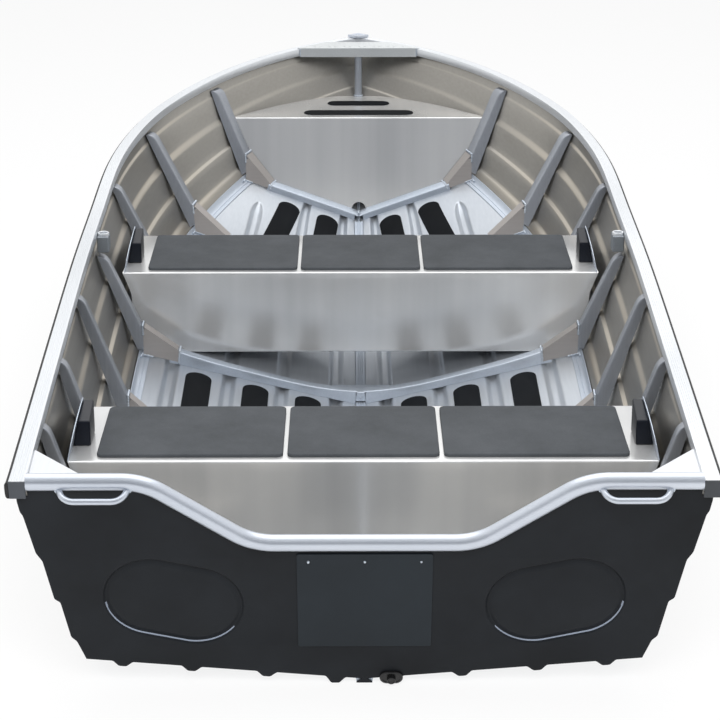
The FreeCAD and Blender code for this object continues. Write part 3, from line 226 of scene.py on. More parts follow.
# Painted highlight: where the normal points up, on the ledges of the pressed steps, the colour is mixed paler and
# warmer than the flats, less so towards the bow, standing in for the sky's sheen.
tree, shader = pressed_sheet.node_tree, pressed_sheet.node_tree.nodes["Principled BSDF"]
facing = add_node(tree, "ShaderNodeSeparateXYZ", i0=add_node(tree, "ShaderNodeNewGeometry").outputs["Normal"])
place = add_node(tree, "ShaderNodeSeparateXYZ", i0=add_node(tree, "ShaderNodeTexCoord").outputs["Object"])
sheen_fade_to_bow = add_node(tree, "ShaderNodeMapRange", i0=place.outputs["Y"], i1=0.95, i2=1.3, i3=0.95, i4=0.25)
painted_ledge_sheen = add_node(tree, "ShaderNodeMapRange", {"interpolation_type": "SMOOTHSTEP"}, i0=facing.outputs["Z"], i1=0.40,
                  i2=0.62, i3=0.0, i4=sheen_fade_to_bow.outputs[0])
ledge_sheen_colour = add_node(tree, "ShaderNodeMix", {"data_type": "RGBA"}, i0=painted_ledge_sheen.outputs[0],
                  i6=shader.inputs["Base Color"].links[0].from_socket, i7=linear("#bcb5a9"))
tree.links.new(ledge_sheen_colour.outputs[2], shader.inputs["Base Color"])
# The bottom sheets get a paler, cooler white than the side sheets: a painted sky reflection on the upward-facing floor.
bottom_sheet = brushed_metal("cool_bottom_sheet", "#b4bac2", "#ccd1d7", 0.37, 8.0, (1, 30, 1), 0.04, metallic=0.72)


def surface(name, vertices, faces, material, slot, replaces=(), smooth=40.0):
    """A welded piece from vertices in mm and faces, riding on the hull."""
    mesh = bpy.data.meshes.new(name)
    mesh.from_pydata([tuple(p) for p in to_frame(vertices)], [], faces)
    shell = bmesh.new()
    shell.from_mesh(mesh)
    bmesh.ops.remove_doubles(shell, verts=shell.verts, dist=0.00002)
    bmesh.ops.recalc_face_normals(shell, faces=shell.faces)
    shell.to_mesh(mesh)
    shell.free()
    mesh.validate()
    mesh.materials.append(material)
    if smooth:
        mesh.shade_smooth()
        mesh.set_sharp_from_angle(angle=math.radians(smooth))
    piece = bpy.data.objects.new(name, mesh)
    bpy.context.collection.objects.link(piece)
    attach(piece, "root")
    if replaces:
        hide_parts(*replaces)
    return piece


def mirrored(vertices, faces):
    return np.asarray(vertices, float) * (-1, 1, 1), [face[::-1] for face in faces]


def on_both_sides(name, mesh, material, slot, node, smooth=40.0):
    """The same piece to starboard and, mirrored, to port."""
    return [surface(name + side, *one, material, slot, [node + side], smooth)
            for side, one in (("starboard", mesh), ("port", mirrored(*mesh)))]


def grid_faces(rows, columns, start=0, ring=False):
    faces = []
    for i in range(rows - 1):
        for j in range(columns if ring else columns - 1):
            a, b = start + i * columns, j + 1 if j + 1 < columns else 0
            faces.append((a + j, a + b, a + columns + b, a + columns + j))
    return faces


def sheet_faces(rows, columns):
    """The faces of a closed sheet whose outer and inner places are two grids, one after the other."""
    flat, total = grid_faces(rows, columns), rows * columns
    edge = list(range(columns)) + [columns * k - 1 for k in range(2, rows + 1)]
    edge += [total - 1 - k for k in range(1, columns)] + [columns * k for k in range(rows - 2, 0, -1)]
    return (flat + [tuple(i + total for i in face[::-1]) for face in flat]
            + [(b, a, a + total, b + total) for a, b in zip(edge, edge[1:] + edge[:1])])


STRAKE_PLACES = [curve_through(v) for v in (
    [0.098, 0.0995, 0.104, 0.108, 0.108, 0.110, 0.114, 0.119, 0.126, 0.140, 0.160, 0.180],
    [0.348, 0.348, 0.352, 0.355, 0.355, 0.363, 0.378, 0.404, 0.450, 0.460, 0.460, 0.460],
    [0.620, 0.610, 0.603, 0.596, 0.599, 0.622, 0.672, 0.735, 0.830, 0.850, 0.850, 0.850],
    [0.869, 0.866, 0.859, 0.855, 0.855, 0.865, 0.880, 0.905, 0.930, 0.930, 0.930, 0.930])]
STRAKE_WIDTH = curve_through([1.0] * 7 + [0.90, 0.70, 0.50, 0.35, 0.20])
STRAKE_ENDS = [(7.2, LAST), (7.2, LAST), (7.15, 7.5), (4.6, 5.4)]
STRAKE_DEPTHS, STRAKE_HALF, STRAKE_FLAT = [18.0, 13.0, 13.0, 13.0], 21.0, 0.38
HALF_STEPS = [0.12, 0.28, 0.4, 0.5, 0.62, 0.76, 0.9, 1.0, 1.12, 1.3]
spots = np.linspace(-1.5, 1.5, 601)
trapeze = np.clip((1 - np.abs(spots)) / (1 - STRAKE_FLAT), 0, 1)
kernel = np.ones(41) / 41
rounded_trapeze = np.convolve(np.convolve(trapeze, kernel, "same"), kernel, "same")


def strake_section(u):
    """Shares across one bottom half and how far the sheet is pressed out there."""
    width = np.linalg.norm(chine_line(u) - keel_line(u))
    steps = [-t for t in HALF_STEPS[::-1]] + HALF_STEPS
    section = [(0.0, 0.0)]
    for place, (fade, end), full in zip(STRAKE_PLACES, STRAKE_ENDS, STRAKE_DEPTHS):
        left = min(max((u - fade) / (end - fade), 0.0), 1.0)
        size = 1.0 - left if end == LAST else math.sqrt(1 - left ** 2)
        half = STRAKE_HALF * (STRAKE_WIDTH(u) if end == LAST else max(size, 0.35)) / width
        before, middle = section[-1][0], float(place(u))
        first = middle + steps[0] * half
        section += [(before + (first - before) * k / 3, 0.0) for k in (1, 2)]
        section += [(middle + t * half, full * size * float(np.interp(t, spots, rounded_trapeze))) for t in steps]
    before = section[-1][0]
    return section + [(before + (1.0 - before) * k / 3, 0.0) for k in (1, 2, 3)]


STEP_UP = [0.107, 0.136, 0.335, 0.357, 0.569, 0.617, 0.821, 0.84]
STEP_SHARES = [0.3, 0.9, 0.3, 1.0, 0.36, 0.84, 0.39, 0.6]
STEP_OUT, STEP_BEND, SIDE_FOOT = 14.0, 9.0, 2.6


def step_size(u):
    return max((float(chine_line(u)[0]) / CHINE_HALF_BEAM) ** 0.8, 0.12)


def step_section(u):
    """Shares up one side and how far the sheet stands out there, each bend rounded."""
    height = np.linalg.norm(sheer_line(u) - chine_line(u))
    steps = [(s, o * STEP_OUT * step_size(u)) for s, o in zip(STEP_UP, STEP_SHARES)]
    corners = np.array([(SIDE_FOOT / height, 0.0)] + steps + [(1.0, 0.0)])
    section = [corners[0]]
    for before, corner, after in zip(corners, corners[1:], corners[2:]):
        run = min(corner[0] - before[0], after[0] - corner[0], STEP_BEND / height) * 0.45
        a, b = (corner + (p - corner) * run / abs(corner[0] - p[0]) for p in (before, after))
        last = section[-1]
        section += [(last * (4 - k) + a * k) / 4 for k in (1, 2, 3)] + [a, 0.25 * a + 0.5 * corner + 0.25 * b, b]
    last = section[-1]
    return section + [last + ((1, 0) - last) * k / 3 for k in (1, 2, 3)]


def pressed_panel(panel, section_at, places):
    outer, inner = [], []
    for u in places:
        for share, out in section_at(u):
            normal, base = panel_normal(panel, share, min(u, LAST - 0.002)), panel_point(panel, share, u)
            for store, depth in ((outer, out), (inner, out - SHEET)):
                point = base + normal * depth
                if u < 1:
                    foot = panel_point(panel, share, 0) + panel_normal(panel, share, 0) * depth
                    point[1] += (-TRANSOM_RAKE * foot[2] - foot[1]) * (1 - u) ** 2
                point[0], point[2] = max(point[0], STEM_HALF), max(point[2], -0.06)
                store.append(point)
    return np.array(outer + inner), sheet_faces(len(places), len(outer) // len(places))


# More places where the outer strakes end.
places = [*np.linspace(0, LAST, 105), *np.arange(7.1, 7.6, 0.025), *np.arange(4.6, 5.45, 0.04)]
places = sorted({round(float(u), 3) for u in places})
for panel, section_at, along, metal, angle in (("bottom", strake_section, places, bottom_sheet, 50),
                                               ("side", step_section, np.linspace(0, LAST, 121), pressed_sheet, 22)):
    on_both_sides("pressed_" + panel + "_", pressed_panel(panel, section_at, along), metal, "hull_sheet", panel + "_",
                  angle)


# ---------------------------------------------------------------- Gunwales and rubber rails
# One bright extruded aluminium section caps each side from the transom to the stem, with fine
# grooves along its top and a lip hanging inside. A black rubber D strip is slid into its outer face.
bright_extrusion = brushed_metal("bright_extruded_gunwale", "#dadee2", "#edeff2", 0.35, 4.0, (1, 60, 1), 0.04, 1.4,
                                 0.05, 0.8)


def rail_row(u, ring, aft=16.0):
    """A cross-section's points, (out, up) from the sheer line, at one place along it."""
    along = slope_of(sheer_line, u)
    plan = unit((along[0], along[1], 0))
    points = []
    for out, up in ring:
        point = sheer_line(u) + (plan[1] * out, -plan[0] * out, up + 1.5)
        if u <= 0:
            point[1] = -TRANSOM_RAKE * point[2] - aft
        if u >= LAST:
            point = point + plan * ((0.15 - point[0]) / plan[0])
        points.append(point)
    return points


def loft(rings, closed=False):
    """Skins ring after ring of points; the ends are closed unless the rings meet."""
    count, total = len(rings[0]), len(rings) * len(rings[0])
    faces = grid_faces(len(rings), count, ring=True)
    if closed:
        faces += [(total - count + j, total - count + (j + 1) % count, (j + 1) % count, j) for j in range(count)]
    else:
        faces += [tuple(range(count))[::-1], tuple(range(total - count, total))]
    return np.array([p for ring in rings for p in ring]), faces


def grooved(x0, x1, z, count, depth, width):
    """Points along a face from x0 to x1 with evenly spaced grooves in it."""
    turn = 1 if x1 > x0 else -1
    return [(x0 + (x1 - x0) * (k + 1) / (count + 1) + turn * width * share, z - depth * deep)
            for k in range(count) for share, deep in ((-1, 0), (-0.4, 1), (0.4, 1), (1, 0))]


OUTER, INNER, RAIL_TOP = 3.6, -29.4, 4.0
gunwale_ring = [(OUTER, 3.0), (OUTER, -36.0), (0.3, -36.0), (0.3, 0.0), (INNER + 3.3, 0.0), (INNER + 3.3, -20.6),
                (INNER + 2.2, -22.0), (INNER + 1.0, -22.0), (INNER, -20.8), (INNER, 2.6), (INNER + 0.6, 3.6),
                (INNER + 1.8, RAIL_TOP)]
gunwale_ring += grooved(INNER + 2, OUTER - 2, RAIL_TOP, 5, 0.55, 0.9) + [(OUTER - 1.0, RAIL_TOP), (OUTER - 0.2, 3.7)]
rubber_ring = [(4.2, -36.0), (4.2, -1.0), (7.4, -1.0), (9.6, -2.2), (11.1, -4.6), (11.7, -8.0), (11.9, -18.5),
               (11.7, -29.0), (11.1, -32.4), (9.6, -34.8), (7.4, -36.0)]
# Black rubber: dull, faintly scuffed, a fine mould grain.
rail_rubber, tree, shader = finish_of("extruded_black_rubber", Roughness=0.62)
place = add_node(tree, "ShaderNodeTexCoord").outputs["Object"]
scuffs = add_node(tree, "ShaderNodeTexNoise", Vector=place, Scale=60.0, Detail=3.0).outputs[0]
tree.links.new(tone_between(tree, scuffs, "#0c0c0d", "#1c1c1e"), shader.inputs["Base Color"])
raised = add_node(tree, "ShaderNodeBump", Height=scuffs, Strength=0.2, Distance=0.0004)
tree.links.new(raised.outputs[0], shader.inputs["Normal"])
for name, ring, material, slot, node in (
        ("gunwale_section_", gunwale_ring, bright_extrusion, "bright_tube", "gunwale_"),
        ("rubber_strip_", rubber_ring, rail_rubber, "rail_rubber", "rub_rail_")):
    on_both_sides(name, loft([rail_row(u, ring) for u in np.linspace(0, LAST, 133)]), material, slot, node, 35)




# ---------------------------------------------------------------- Keel, stem and chine strips
# Extruded aluminium. The keel grips both bottom sheets and stands inside as a low grooved ridge. The
# chine strips are welded along the corner of bottom and side. The stem closes the bow outside.
# Extruded bar: cool grey, drawn lengthwise, a little brighter than the sheets.
extruded_bar = brushed_metal("extruded_marine_bar", "#adb7c4", "#cad2dd", 0.36, 5.0, (1, 30, 1), 0.0, 3.0, 0.06, 0.6)


def on_transom(point, u):
    """Leans the first stretch of a hull piece so that it ends on the raked transom."""
    return (point[0], point[1] + (-TRANSOM_RAKE * point[2] - point[1]) * max(1 - u, 0) ** 2, point[2])


def keel_ring(u):
    keel, across = keel_line(u), chine_line(u) - keel_line(u)
    foot = keel[2] + min(across[2] / max(across[0], 0.3), 0.7) * 11.8 + 3.2
    half = [(17.0, keel[2] - 13.3), (18.0, keel[2] - 4.3), (14.0, keel[2] - 0.3), (2.2, keel[2] - 0.3),
            (2.2, keel[2] + 2.6), (14.0, foot), (13.7, foot + 3.2), (12.6, foot + 4.0)]
    ring = half + grooved(11.0, -11.0, foot + 4.0, 3, 1.4, 1.7) + [(-x, z) for x, z in half[::-1]]
    return [on_transom((x, keel[1], z), u) for x, z in ring]


surface("keel_extrusion", *loft([keel_ring(u) for u in np.linspace(0, 8, 49)]), extruded_bar, "frame_extrusion",
        ["keel"], 30)


def chine_ring(u):
    corner, nb, ns = chine_line(u), panel_normal("bottom", 1.0, u), panel_normal("side", 0.0, u)
    cb, cs = unit(keel_line(u) - corner), unit(sheer_line(u) - corner)
    m = (nb + ns) / (1.0 + np.dot(nb, ns))
    low, high = SHEET + 0.9, SHEET + 3.4
    across = [(low, 26.0), (high - 0.8, 26.0), (high, 25.2), (high, 16.0), (high - 1.6, 15.4), (high - 1.6, 13.4),
              (high, 12.8), (high, 6.0)]
    upward = [(high, 6.0), (high, 17.2), (high - 0.8, 18.0), (low, 18.0)]
    ring = [corner - m * low] + [corner - nb * deep + cb * run for deep, run in across]
    ring += [corner - m * high - (nb + ns) * 0.8] + [corner - ns * deep + cs * run for deep, run in upward]
    return [on_transom(p, u) for p in ring]


def dress(node, material):
    """A CAD piece that stays as it is and only gets its finish."""
    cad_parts[node].data.materials.clear()
    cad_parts[node].data.materials.append(material)


on_both_sides("chine_strip_run_", loft([chine_ring(u) for u in np.linspace(0, 9, 91)]), extruded_bar,
              "frame_extrusion", "chine_strip_", 35)
dress("stem", extruded_bar)


# ---------------------------------------------------------------- Transom plate
# One raked sheet of 4 mm aluminium, powder coated charcoal outside and bare inside. A racetrack panel is
# pressed in on each side, and the lower edge follows the strakes and steps of the pressed hull.
# Powder coat: satin, with a fine orange peel and cloudy change of tone.
RAKE_RUN = math.hypot(1, TRANSOM_RAKE)
PLATE_BACK, PLATE_FRONT, PLATE_FOOT = 4.29, 0.29, 1.6
SHOULDER_X, SHOULDER_LOW, SHOULDER_HIGH = 676.3, 489.7 * RAKE_RUN, 523.2
CAP_RADIUS, CAP_BEND, CAP_AFT = 17.5, 140.0, 2.23
CAP_PATH = [(-676.6, 539.7), (-444.6, 539.7), (-230.0, 383.0), (230.0, 383.0), (444.6, 539.7), (676.6, 539.7)]
PRESSING_X, PRESSING_UP, PRESSING_TILT, PRESSING_POINTS = 397.0, 228.0, math.radians(14), 96
PRESSING_RADIUS, PRESSING_RUN = 104.0, 44.0
HIGHLIGHT_BELOW, HIGHLIGHT_FROM, HIGHLIGHT_TO = -38.0, -5.2, -2.2
PRESSING_PROFILE = [(2.0, 0.0), (0.8, 0.1), (-0.2, 0.6), (-1.0, 1.4), (-2.7, 3.6), (-4.5, 6.0), (-5.5, 6.8),
                    (-6.5, 7.2), (-7.5, 7.2), (-9.0, 6.8), (-12.0, 5.6), (-15.0, 4.3), (-18.0, 3.5), (-21.0, 3.2)]


def coated(name, dark, light, rough, grain, peel, **constants):
    """A coated or moulded surface: a slow change of tone and a fine grain, its spacing in mm."""
    material, tree, shader = finish_of(name, Roughness=rough, **constants)
    place = add_node(tree, "ShaderNodeTexCoord").outputs["Object"]
    clouds = add_node(tree, "ShaderNodeTexNoise", Vector=place, Scale=3.5, Detail=5.0, Roughness=0.6)
    tree.links.new(tone_between(tree, clouds.outputs[0], dark, light), shader.inputs["Base Color"])
    grains = add_node(tree, "ShaderNodeTexNoise", Vector=place, Scale=1000 / grain, Detail=2.0)
    raised = add_node(tree, "ShaderNodeBump", Height=grains.outputs[0], Strength=peel, Distance=0.0003)
    tree.links.new(raised.outputs[0], shader.inputs["Normal"])
    return material


powder_coat = coated("charcoal_powder_coat", "#131518", "#1d2024", 0.42, 5.0, 0.06, Specular_IOR_Level=0.15)
# Painted highlight: a pale blue-grey coat colour on the lower, upward-facing wall of each pressing, where light from
# above catches it.
painted_bend_highlight = coated("painted_highlight_on_bend", "#6d7583", "#8992a1", 0.34, 5.0, 0.0)


def on_plate(x, up, aft):
    """From a place across and up the raked plate, and the distance aft of it."""
    return np.array((x, (-TRANSOM_RAKE * up - aft) / RAKE_RUN, (up - TRANSOM_RAKE * aft) / RAKE_RUN))


def bent_path(points, radius, step=5.0):
    """Straight runs joined by arcs, as a tube bender leaves them."""
    points = [np.asarray(p, float) for p in points]
    path = [points[0]]
    for before, corner, after in zip(points, points[1:], points[2:]):
        a, b = unit(before - corner), unit(after - corner)
        half = math.acos(float(np.dot(a, b))) / 2
        centre = corner + unit(a + b) * radius / math.sin(half)
        one, two = (corner + way * radius / math.tan(half) - centre for way in (a, b))
        turn = math.pi - 2 * half
        count = max(4, int(turn * radius / step))
        for t in np.arange(count + 1) / count:
            path.append(centre + (one * math.sin((1 - t) * turn) + two * math.sin(t * turn)) / math.sin(turn))
    return path + [points[-1]]


def racetrack(side, grow):
    """A ring of places round one tilted pressing, grow mm outside its mean line."""
    ring, c, s = [], math.cos(PRESSING_TILT * side), math.sin(PRESSING_TILT * side)
    for angle in np.arange(PRESSING_POINTS) * 2 * math.pi / PRESSING_POINTS:
        x = (PRESSING_RADIUS + grow) * math.cos(angle) + (PRESSING_RUN if math.cos(angle) > 0 else -PRESSING_RUN)
        z = (PRESSING_RADIUS + grow) * math.sin(angle)
        ring.append((side * PRESSING_X + x * c - z * s, PRESSING_UP + x * s + z * c))
    return ring


cap_line = bent_path(CAP_PATH, CAP_BEND)
half_edge = []
for panel, section in (("bottom", strake_section(0)), ("side", step_section(0))):
    for share, out in section:
        p = panel_point(panel, share, 0) + panel_normal(panel, share, 0) * out
        half_edge.append((p[0], max(p[2] * RAKE_RUN, PLATE_FOOT)))
half_edge = [(17.0, PLATE_FOOT)] + [p for p in half_edge if p[1] < SHOULDER_LOW]
half_edge += [(half_edge[-1][0], SHOULDER_LOW), (SHOULDER_X, SHOULDER_LOW), (SHOULDER_X, SHOULDER_HIGH)]
under_tube = []
for before, here, after in zip([cap_line[0]] + cap_line, cap_line, cap_line[1:] + [cap_line[-1]]):
    along = unit(after - before) * (CAP_RADIUS - 1)
    under_tube.append((here[0] + along[1], here[1] - along[0]))
outline = [(-x, up) for x, up in half_edge[::-1]] + half_edge + [p for p in under_tube[::-1] if abs(p[0]) < 676]

vertices, faces = [], []
loops = [outline] + [racetrack(side, PRESSING_PROFILE[0][0]) for side in (-1, 1)]
flat = [p for ring in loops for p in ring]
for base in (PLATE_BACK, PLATE_FRONT):
    start = len(vertices)
    vertices += [on_plate(x, up, base) for x, up in flat]
    for face in tessellate_polygon([[Vector((x, up, 0)) for x, up in ring] for ring in loops]):
        faces.append([start + i for i in face])
    for side in (-1, 1):
        first = len(vertices)
        for grow, deep in PRESSING_PROFILE:
            vertices += [on_plate(x, up, base - deep) for x, up in racetrack(side, grow)]
        faces += grid_faces(len(PRESSING_PROFILE), PRESSING_POINTS, first, ring=True)
        faces.append(tuple(range(len(vertices) - PRESSING_POINTS, len(vertices))))
count, back = len(outline), len(vertices) // 2
faces += [(i, (i + 1) % count, back + (i + 1) % count, back + i) for i in range(count)]
transom = surface("transom_sheet", np.array(vertices), faces, powder_coat, "transom_coating", ["transom_plate"], 35)
transom.data.materials.append(painted_bend_highlight)
transom.data.materials.append(pressed_sheet)
# Inside faces take the bare sheet, and faces low on the wall of each pressing take the painted highlight.
for face in transom.data.polygons:
    x, up = face.center.x * 1000, face.center.z * 1000 * RAKE_RUN - PRESSING_UP
    side = 1 if x > 0 else -1
    c, s = math.cos(PRESSING_TILT * side), math.sin(PRESSING_TILT * side)
    across, high = (x - side * PRESSING_X) * c + up * s, up * c - (x - side * PRESSING_X) * s
    grow = math.hypot(max(abs(across) - PRESSING_RUN, 0), high) - PRESSING_RADIUS
    if face.normal.y > 0.5:
        face.material_index = 2
    elif high < HIGHLIGHT_BELOW and HIGHLIGHT_FROM < grow < HIGHLIGHT_TO:
        face.material_index = 1


# ---------------------------------------------------------------- Transom cap tube, handles and corner knees
# A bright 35 mm tube, bent to the notch and welded along the transom's top edge. Two bent bars are welded
# under its shoulders as handles, and a flat plate ties the tube to each gunwale.
# Bright drawn tube: nearly white, with faint drawing lines.
bright_tube = brushed_metal("bright_drawn_tube", "#bfc6d1", "#d5dae2", 0.35, 4.0, (40, 1, 1), 0.0, 1.6, 0.05, 0.85)


def swept(path, radius, normal, count=28):
    """A round bar along a flat path; normal is square to the path's plane."""
    rings = []
    for before, here, after in zip([path[0]] + path, path, path[1:] + [path[-1]]):
        along = unit(after - before)
        across = unit(np.cross(along, normal))
        other = unit(np.cross(along, across))
        rings.append([here + (across * math.cos(a) + other * math.sin(a)) * radius
                      for a in np.linspace(0, 2 * math.pi, count, endpoint=False)])
    return loft(rings)


plate_normal = np.array((0, -1, -TRANSOM_RAKE)) / RAKE_RUN
surface("cap_tube", *swept([on_plate(x, up, CAP_AFT) for x, up in cap_line], CAP_RADIUS, plate_normal, 40),
        bright_tube, "bright_tube", ["transom_cap_tube"])

HANDLE_MIDDLE, HANDLE_HALF, HANDLE_SPLAY, HANDLE_BEND, HANDLE_RADIUS = 542.6, 68.0, 10.0, 31.0, 6.5
centre = on_plate(0, CAP_PATH[0][1], CAP_AFT)
root, reach = centre + (0, -9.0, -15.0), centre + (0, -32.5, -29.0)
handle_path = bent_path([root + (HANDLE_MIDDLE - HANDLE_HALF, 0, 0),
                         reach + (HANDLE_MIDDLE - HANDLE_HALF + HANDLE_SPLAY, 0, 0),
                         reach + (HANDLE_MIDDLE + HANDLE_HALF - HANDLE_SPLAY, 0, 0),
                         root + (HANDLE_MIDDLE + HANDLE_HALF, 0, 0)], HANDLE_BEND, 2.0)
on_both_sides("handle_bar_", swept(handle_path, HANDLE_RADIUS, unit(np.cross((1, 0, 0), reach - root))), bright_tube,
              "bright_tube", "handle_")


def plate_of(outline, reach):
    """A flat plate: its outline in order, and the thickness as a vector."""
    outline = [np.asarray(p, float) for p in outline]
    return loft([outline, [p + reach for p in outline]])


def softened(piece, width, segments=3):
    bevel = piece.modifiers.new("rounded_edges", "BEVEL")
    bevel.width, bevel.segments, bevel.limit_method = width / 1000, segments, "ANGLE"
    bevel.angle_limit, bevel.harden_normals = math.radians(35), True


def rail_point(out, up, y):
    """A point beside the sheer, by its distance out from it and above it, at the place y along the boat."""
    return line_at(lambda u: rail_row(u, [(out, up)])[0], y)


# Polished plate: almost white from above.
white_plate = brushed_metal("polished_knee_plate", "#d2d5d9", "#e2e4e7", 0.38, 6.0, (1, 30, 1), 0.0, metallic=0.5)
KNEE_LOW, KNEE_THICK, KNEE_LONG, KNEE_WIDE = 520.0, 3.0, 150.0, 120.0
knee_back = -TRANSOM_RAKE * KNEE_LOW + CAP_RADIUS
aft, fore = (rail_point(-29.7, RAIL_TOP, y) for y in (knee_back, knee_back + KNEE_LONG))
outline = [(aft[0], knee_back, KNEE_LOW), (fore[0], fore[1], KNEE_LOW), (aft[0] - KNEE_WIDE, knee_back, KNEE_LOW)]
for knee in on_both_sides("knee_plate_", plate_of(outline, (0, 0, KNEE_THICK)), white_plate, "bright_tube",
                          "corner_knee_", 0):
    softened(knee, 0.8)


# ---------------------------------------------------------------- Gunwale ends
# The open end of each gunwale is closed by a welded plate in dark cast finish, and the rubber strip runs
# past it to a rounded black end.
cast_end = coated("dark_cast_end", "#26292d", "#3d4147", 0.42, 4.0, 0.05)
END_AFT, END_THICK = 16.3, 5.0
plate_ring = [(4.2, RAIL_TOP), (4.2, -36.0), (INNER, -36.0), (INNER, RAIL_TOP)]
bead_ring = [(4.3, 3.4), (9.0, 2.4), (11.3, -2.0), (11.9, -9.0), (11.9, -24.0), (11.1, -31.0), (9.0, -35.0),
             (4.3, -36.0)]
for side, turn in (("starboard", 1), ("port", -1)):
    for name, ring, material, slot, replaced in (
            ("end_plate_", plate_ring, cast_end, "end_cap_coating", ["gunwale_end_cap_" + side]),
            ("rubber_end_", bead_ring, rail_rubber, "rail_rubber", [])):
        end = plate_of([p * (turn, 1, 1) for p in rail_row(0, ring, END_AFT)], (0, -END_THICK, 0))
        softened(surface(name + side, *end, material, slot, replaced, 0), 1.2)


# ---------------------------------------------------------------- Motor pads, knee and drain plug
# A thin coated plate is riveted outside below the notch and a thicker board stands inside it, where a motor
# would clamp. A plate knee braces the transom to the keel. The drain plug is screwed in beside the keel.
pad_coat = coated("motor_pad_coat", "#151b20", "#1c2329", 0.5, 5.0, 0.05, Specular_IOR_Level=0.25)
PAD_HALF, PAD_LOW, PAD_HIGH = 140.0, 104.0 * RAKE_RUN, 346.0 * RAKE_RUN


def rounded_box(x0, x1, y0, y1, radius, inset=0.0, count=7):
    """A rectangle's outline with round corners, drawn in by inset."""
    points, radius = [], max(radius - inset, 0.8)
    near_x, far_x, near_y, far_y = (edge + (inset + radius) * turn
                                    for edge, turn in ((x0, 1), (x1, -1), (y0, 1), (y1, -1)))
    for cx, cy, start in ((far_x, near_y, -90), (far_x, far_y, 0), (near_x, far_y, 90), (near_x, near_y, 180)):
        for angle in np.radians(start + 90 * np.arange(count + 1) / count):
            points.append((cx + radius * math.cos(angle), cy + radius * math.sin(angle)))
    return points


for name, node, near, far, radius in (("outer_motor_plate", "transom_pad_outer", 4.3, 7.3, 5.0),
                                      ("inner_motor_board", "transom_pad_inner", -22.0, 0.0, 8.0)):
    ring = [on_plate(x, up, near) for x, up in rounded_box(-PAD_HALF, PAD_HALF, PAD_LOW, PAD_HIGH, radius, count=6)]
    softened(surface(name, *plate_of(ring, plate_normal * (far - near)), pad_coat, "pad_coating", [node], 0), 0.8)
dress("transom_knee", extruded_bar)

# Moulded plug: black and glossy.
plug_plastic = coated("moulded_black_plug", "#0c0c0d", "#161617", 0.22, 4.0, 0.05)
PLUG_X, PLUG_UP = 57.0, 19.0 * RAKE_RUN


def stadium_ring(half_length, half_width, count=40):
    run = half_length - half_width
    return [(half_width * math.cos(a) + (run if math.cos(a) > 0 else -run), half_width * math.sin(a))
            for a in np.linspace(0, 2 * math.pi, count, endpoint=False)]


profile = [(25 - shrink, 16 - shrink, out) for shrink, out in
           ((0, 0.3), (0, 4.6), (0.8, 5.7), (2.0, 6.2), (5.0, 6.4), (6.0, 5.4), (8.5, 5.2))]
profile += [(radius + 0.01, radius, out) for radius, out in
            ((9.5, 5.4), (9.3, 14.6), (8.6, 15.8), (6.4, 16.4), (5.6, 15.0), (3.0, 14.6))]
rings = [[on_plate(PLUG_X + x, PLUG_UP + z, PLATE_BACK + out) for x, z in stadium_ring(long, wide)]
         for long, wide, out in profile]
surface("plug_body", *loft(rings), plug_plastic, "plug_plastic", ["drain_plug"])


# ---------------------------------------------------------------- Ribs, gussets and floor frames
# Welded channel of 3 mm aluminium. A rib stands on each side with its open face to the sheet and its top
# rounded off, a plate gusset fills the corner, and a floor arm runs in from it to meet over the keel.
FRAME_PLACES = {"frame_1": 2974.66, "frame_2": 2560.25, "frame_4": 1612.01, "frame_5": 1150.18, "frame_7": 267.97}
RIB_PLACES = {"rib_pair_3": 2093.0, "rib_pair_6": 683.0}
BAR, BAR_WALL, RIB_TOP_DEEP, RIB_FOOT_DEEP, ARM_HIGH = 32.0, 3.0, 22.0, 40.0, 20.0
RIB_TOP_DROP, MIDDLE_RIB_TOP_DROP, RIB_TOP_ROUND = 36.0, 75.0, 30.0
ARM_ROOT, ARM_SEAT, RIDGE_HIGH, GUSSET_SHARE, GUSSET_THICK, GUSSET_INSET = 15.8, SHEET + 0.3, 14.0, 0.21, 3.4, 7.5
LEAN_FROM, FORWARD_LEAN, TOE_FROM, TOE_RUN, AFT_TOE, TOE_LESS = 1700.0, 0.29, 1650.0, 1350.0, 0.83, 0.06
# Channel bar: mill finish drawn lengthwise, bluish where it faces the sky.
channel_bar = brushed_metal("drawn_channel_bar", "#8e9299", "#a9adb4", 0.40, 6.0, (1, 1, 20), 0.0, 3.5, 0.07)


def channel_ring(corners, deep, bend=4.0):
    """A U section between four corners: foot and crest at the aft face, then crest and foot ahead."""
    foot_aft, crest_aft, crest_fore, foot_fore = corners
    bend, wall = min(bend, deep * 0.4), min(BAR_WALL, deep * 0.4)
    half = [(0, 0), (0, deep * 0.5), (0, deep - bend), (bend * 0.12, deep - bend * 0.5),
            (bend * 0.5, deep - bend * 0.12), (bend, deep)]
    points = half + [(BAR / 2, deep)] + [(BAR - across, up) for across, up in half[::-1]]
    points += [(BAR - wall, 0), (BAR - wall, deep - wall), (wall, deep - wall), (wall, 0)]
    return [(foot_aft * (1 - s) + foot_fore * s) * (1 - t) + (crest_aft * (1 - s) + crest_fore * s) * t
            for s, t in ((across / BAR, up / deep) for across, up in points)]


def lean_rule(y):
    """The forward ribs lean towards the bow: where each stands, by its height."""
    slope = FORWARD_LEAN * min(max(y - LEAN_FROM, 0.0) / (FRAME_PLACES["frame_1"] - LEAN_FROM), 1.0)
    foot = bottom_at(y, line_at(chine_line, y)[0] * 0.80, SHEET)[2]
    return lambda z: y + slope * (z - foot)


def leaning(y, rule, share, inward):
    at = y
    for _ in range(3):
        at = rule(panel_at("side", share, at, inward)[2])
    point = panel_at("side", share, at, inward)
    return np.array((point[0], rule(point[2]), point[2]))


